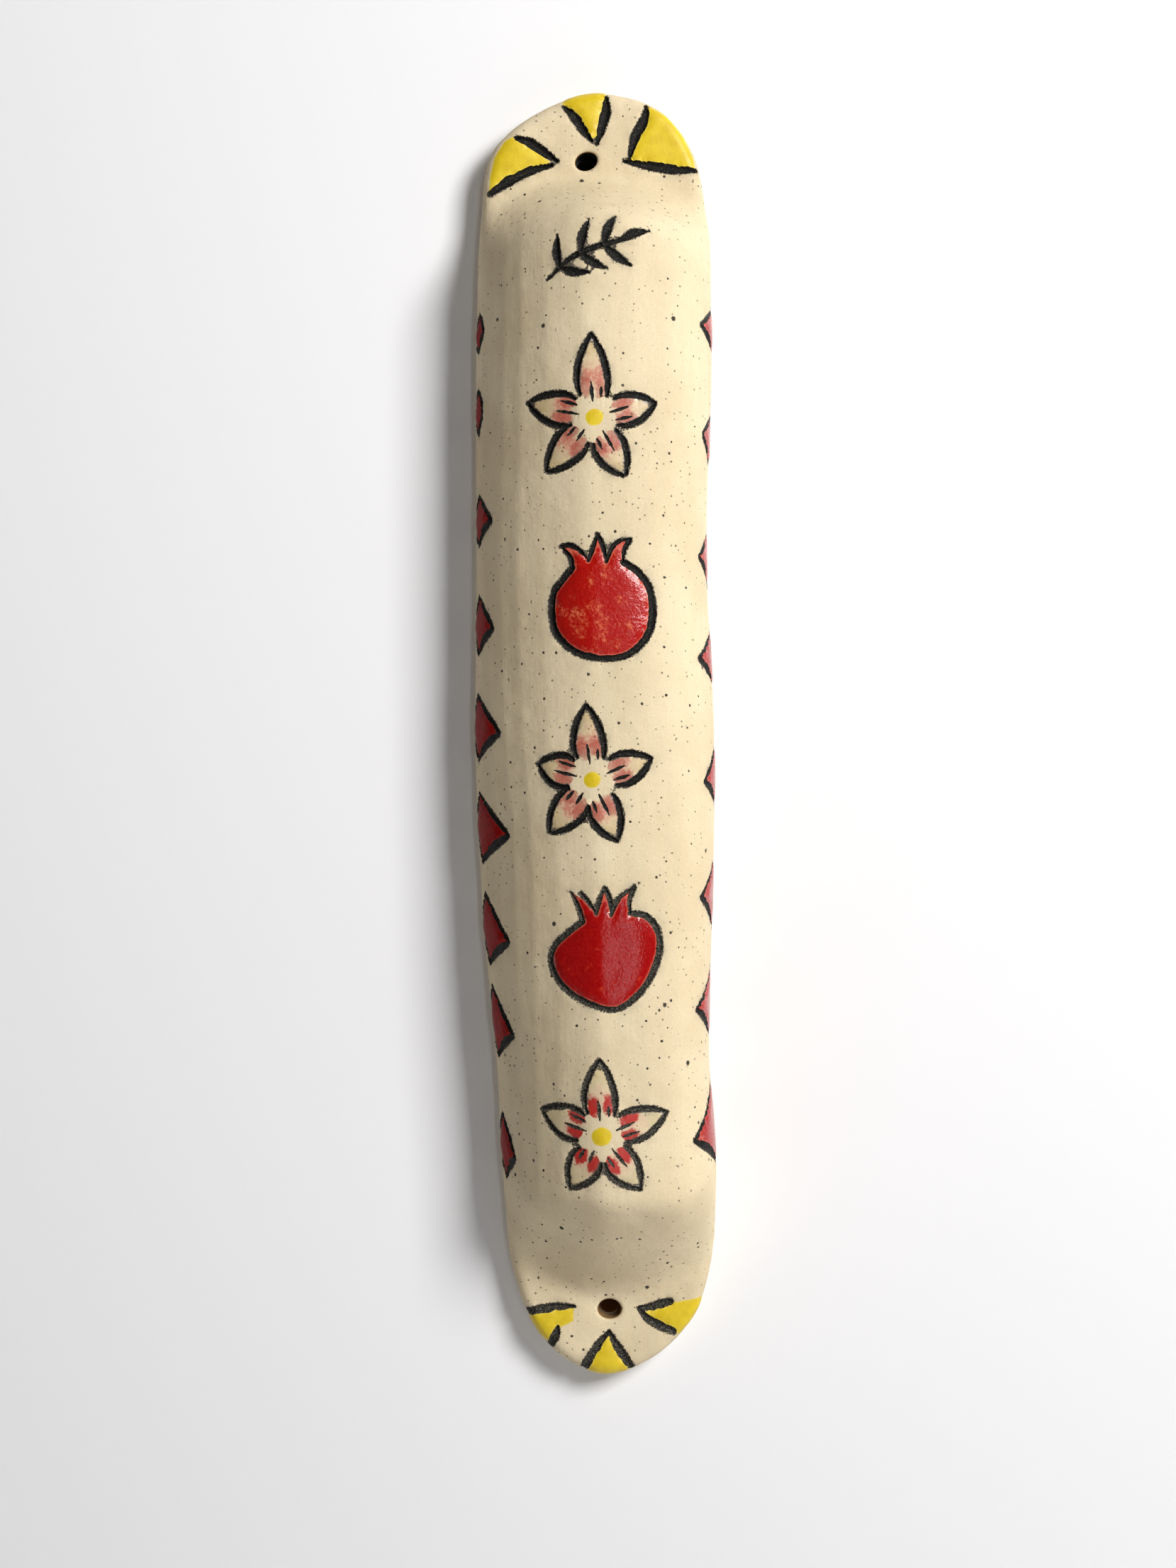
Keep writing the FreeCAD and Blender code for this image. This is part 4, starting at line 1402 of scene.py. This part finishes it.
def yellow_material():
    """Satin yellow glaze, a little cloudy and paler at its edge."""
    finish = Finish("yellow_glaze", Specular_IOR_Level=0.4, Coat_Weight=0.15, Coat_Roughness=0.3)
    cloud = finish.noise(0.7, 4.0, 0.6)
    colour = finish.mix(finish.ramp(cloud, 0.35, 0.7), YELLOW, YELLOW_DEEP)
    grain = finish.noise(4.5, 3.0, 0.7)
    colour = finish.mix(finish.ramp(grain, 0.55, 0.8, 0.0, 0.35), colour, YELLOW_GRAIN)
    edge = finish.ramp(finish.mark("glaze_rim"), 0.3, 0.0, 0.0, 0.25)
    colour = finish.mix(edge, colour, YELLOW_EDGE)
    normal = finish.bump(finish.noise(3.2, 3.0, 0.6), 0.05, 0.7)
    return finish.finish(colour, finish.ramp(grain, 0.3, 0.7, 0.42, 0.6), normal)


def petal_material(name, pink, strength, dab_colour, dab_strength, tip):
    """Thin washes: clay near the heart, pink in the middle, tan at the tip, and stronger dabs."""
    finish = Finish(name, Specular_IOR_Level=0.45, Coat_Weight=0.25, Coat_Roughness=0.25)
    colour, dark = clay_colour(finish)
    along = finish.mark("along")
    blotch = finish.noise(0.9, 4.0, 0.65)
    blur = finish.times(finish.minus(blotch, 0.5), 0.5)
    shifted = finish.plus(along, blur)
    rise = finish.ramp(shifted, 0.27, 0.46)
    fall = finish.ramp(shifted, 0.72, 0.52)
    grain = finish.noise(3.2, 3.0, 0.6)
    spread = finish.ramp(grain, 0.25, 0.60, 0.35, 1.0)
    amount = finish.times(finish.times(rise, fall), spread)
    tan = finish.times(finish.ramp(shifted, 0.50, 0.85), 0.75)
    colour = finish.mix(tan, colour, tip)
    colour = finish.mix(finish.times(amount, strength), colour, pink)
    ragged = finish.times(finish.minus(finish.noise(1.4, 4.0, 0.7), 0.5), 0.7)
    near = finish.ramp(finish.plus(finish.mark("dab"), ragged), 0.42, 0.62)
    colour = finish.mix(finish.times(near, dab_strength), colour, dab_colour)
    normal = clay_bump(finish, dark)
    return finish.finish(soot(finish, colour), finish.ramp(grain, 0.3, 0.7, 0.35, 0.6), normal)


def parchment_material():
    """Blank parchment with clouds and fibres."""
    finish = Finish("parchment", Specular_IOR_Level=0.3)
    light, dark, fibres = PARCHMENT_COLOURS
    cloud = finish.noise(0.12, 4.0, 0.6)
    colour = finish.mix(finish.ramp(cloud, 0.3, 0.7), light, dark)
    fibre = finish.noise(3.0, 3.0, 0.6, stretch=(1.0, 1.0, 0.3))
    colour = finish.mix(finish.ramp(fibre, 0.5, 0.75, 0.0, 0.35), colour, fibres)
    return finish.finish(colour, finish.ramp(fibre, 0.3, 0.7, 0.5, 0.7), finish.bump(fibre, 0.05, 0.5))


def paper_material():
    """Off-white paper with fibres and soft creases."""
    finish = Finish("wrap_paper", Specular_IOR_Level=0.4, Sheen_Weight=0.1)
    light, dark, fibres = PAPER_COLOURS
    cloud = finish.noise(0.2, 4.0, 0.6)
    colour = finish.mix(finish.ramp(cloud, 0.3, 0.7), light, dark)
    fibre = finish.noise(4.0, 4.0, 0.7, stretch=(1.0, 1.0, 0.5))
    colour = finish.mix(finish.ramp(fibre, 0.55, 0.8, 0.0, 0.3), colour, fibres)
    crease = finish.noise(0.35, 3.0, 0.5, stretch=(1.0, 1.0, 0.25))
    normal = finish.bump(crease, 0.25, 0.6, finish.bump(fibre, 0.03, 0.5))
    return finish.finish(colour, finish.ramp(fibre, 0.3, 0.7, 0.45, 0.62), normal)


# ---------------------------------------------------------------- Pieces

def make_pieces():
    """Every piece of the case and the scroll."""
    draw_front()
    sheet = Sheet()
    fresh_slip = slip_material("black_slip", FRESH)
    dry_slip = slip_material("dry_black_slip", DRY)
    reds = {name: red_material(f"red_glaze_{name}", *looks) for name, looks in RED_GLAZES.items()}
    yellow = yellow_material()
    # Slot and material by the last word of a piece's name
    slips = ("outline", "outlines", "lines", "sprig")
    finishes = {ending: ("black_slip", fresh_slip) for ending in slips}
    finishes["glaze"] = ("red_glaze", reds["right"])
    finishes["centre"] = ("yellow_glaze", yellow)
    finishes["petals"] = ("petal_wash", petal_material("petal_wash", *PALE_WASH))
    # Pieces with a material of their own
    own = {
        "flower_bottom_outline": dry_slip,
        "pomegranate_lower_outline": dry_slip,
        "bottom_ray_lines": dry_slip,
        "flower_bottom_petals": petal_material("petal_wash_red", *STRONG_WASH),
        # Painted shade: the left diamonds get the darker copy of the red glaze
        "left_diamond_glaze": reds["left"],
        "pomegranate_upper_glaze": reds["upper"],
        "pomegranate_lower_glaze": reds["lower"],
        "top_ray_glaze": yellow,
        "bottom_ray_glaze": yellow,
    }
    for name in sorted(set(sheet.names)):
        slot, material = finishes[name.rsplit("_", 1)[1]]
        if name.endswith("ray_glaze"):
            slot = "yellow_glaze"
        points, faces, used = inlay_shell(sheet, sheet.triangles_of(name))
        marks = {mark: np.tile(getattr(sheet, mark)[used], 2)
                 for mark in ("from_line", "glaze_rim", "along", "dab")}
        make_piece(f"{name}_fired", "case", own.get(name, material), points, faces, marks,
                   (name,))
    points, faces, marks = case_mesh(sheet)
    make_piece("case_shell_fired", "case", clay_material(), points, faces, marks,
               ("case_shell",))
    make_scroll(parchment_material(), paper_material())
    print("sheet", len(sheet.places), "points;", "case", len(points), "points", len(faces), "faces")


make_pieces()


# ---------------------------------------------------------------- Stage, light and camera

STAGE_HALF = 1.6
WALL_Y = 0.0006
FLOOR_Z = -0.50
WALL_COLOUR = (0.86, 0.86, 0.88, 1)
WALL_ROUGHNESS = 0.8
FLOOR_COLOUR = (0.82, 0.82, 0.83, 1)
FLOOR_ROUGHNESS = 0.7
# Painted shade: dark discs on the backdrop behind the nail holes, seen through them in place of shade:
# name, height in millimetres and colour
HOLE_SHADE_DISCS = (
    ("top_hole_painted_shade", 0.0, BLACK),
    ("bottom_hole_painted_shade", -NAIL_SPACING, (0.10, 0.035, 0.008, 1)),
)
SHADE_DISC_RADIUS = 0.002
SHADE_DISC_ROUGHNESS = 0.9
SHADE_DISC_STEPS = 24
CLEAR_OF_WALL = 0.0002


def one_sided(finish):
    """Let a piece of the stage be seen only from its front, and never block a lamp."""
    back = finish.add("NewGeometry").outputs["Backfacing"]
    shadow = finish.add("LightPath").outputs["Is Shadow Ray"]
    either = finish.math("MAXIMUM", back, shadow)
    clear = finish.add("BsdfTransparent").outputs[0]
    choose = finish.add("MixShader", {0: either, 1: finish.shader.outputs[0], 2: clear})
    finish.put(finish.tree.nodes["Material Output"].inputs["Surface"], choose.outputs[0])


def stage_face(name, corners, colour, roughness, see_through=True):
    """One flat face of the stage."""
    finish = Finish(name, Specular_IOR_Level=0.2)
    if see_through:
        one_sided(finish)
    mesh = bpy.data.meshes.new(name)
    mesh.from_pydata(corners, [], [tuple(range(len(corners)))])
    mesh.materials.append(finish.finish(colour, roughness))
    add_object(name, mesh)


def make_stage():
    """Pale backdrop that the case hangs on, with dark discs of painted shade behind its nail holes, and
    a pale floor.
    """
    turn = [2 * math.pi * step / SHADE_DISC_STEPS for step in range(SHADE_DISC_STEPS)]
    # Painted shade: a dark disc on the backdrop behind each nail hole
    for name, height, colour in HOLE_SHADE_DISCS:
        corners = [(SHADE_DISC_RADIUS * math.cos(angle), WALL_Y - CLEAR_OF_WALL,
                    height * MM + SHADE_DISC_RADIUS * math.sin(angle)) for angle in turn]
        stage_face(name, corners, colour, SHADE_DISC_ROUGHNESS)
    square = ((-STAGE_HALF, 0), (STAGE_HALF, 0), (STAGE_HALF, 1), (-STAGE_HALF, 1))
    stage_face("backdrop", [(x, WALL_Y, STAGE_HALF if far else FLOOR_Z) for x, far in square],
               WALL_COLOUR, WALL_ROUGHNESS)
    stage_face("floor", [(x, STAGE_HALF if far else -STAGE_HALF, FLOOR_Z) for x, far in square],
               FLOOR_COLOUR, FLOOR_ROUGHNESS, see_through=False)


MIDDLE = (0.0, -0.008, -0.074)
WHITE = (1.0, 1.0, 1.0)
# Lamps: name, place, target, size, power and colour
LAMPS = (
    ("window", (0.16, -1.0, -0.10), (0.0, 0.0, -0.10), (0.05, 0.95), 0.85, WHITE),
    ("key", (0.35, -0.44, 0.17), MIDDLE, (0.22, 0.22), 4.45, (1.0, 0.99, 0.97)),
    ("behind", (0.4, 0.9, 0.5), MIDDLE, (0.9, 0.9), 6.0, WHITE),
)
SKY_COLOUR = (1.0, 0.96, 0.90, 1)
SKY_STRENGTH = 0.055


def make_light():
    """A key from the right and a little above, a window strip for the gloss, and some fill."""
    for name, place, target, size, power, colour in LAMPS:
        light = bpy.data.lights.new(name, "AREA")
        light.shape = "RECTANGLE"
        light.size, light.size_y = size
        light.energy = power
        light.color = colour
        made = add_object(name, light)
        made.location = place
        made.rotation_euler = (Vector(target) - Vector(place)).to_track_quat("-Z", "Y").to_euler()
    world = bpy.data.worlds.new("studio")
    bpy.context.scene.world = world
    world.use_nodes = True
    sky = world.node_tree.nodes["Background"].inputs
    sky["Color"].default_value = SKY_COLOUR
    sky["Strength"].default_value = SKY_STRENGTH


CAMERA_PLACE = (-0.0014, -0.330, -0.0802)
CAMERA_ROLL = math.radians(1.165)
CAMERA_LENS = 58
NEAREST_SEEN = 0.01


def make_camera():
    """Camera straight in front of the case, turned a little about its own axis."""
    camera_data = bpy.data.cameras.new("camera")
    camera_data.lens = CAMERA_LENS
    camera_data.clip_start = NEAREST_SEEN
    camera = add_object("camera", camera_data)
    facing = Matrix.Rotation(math.radians(90), 4, "X")
    roll = Matrix.Rotation(CAMERA_ROLL, 4, "Y")
    camera.matrix_world = Matrix.Translation(CAMERA_PLACE) @ roll @ facing
    bpy.context.scene.camera = camera


make_stage()
make_light()
make_camera()
bpy.context.scene.view_settings.view_transform = "Standard"
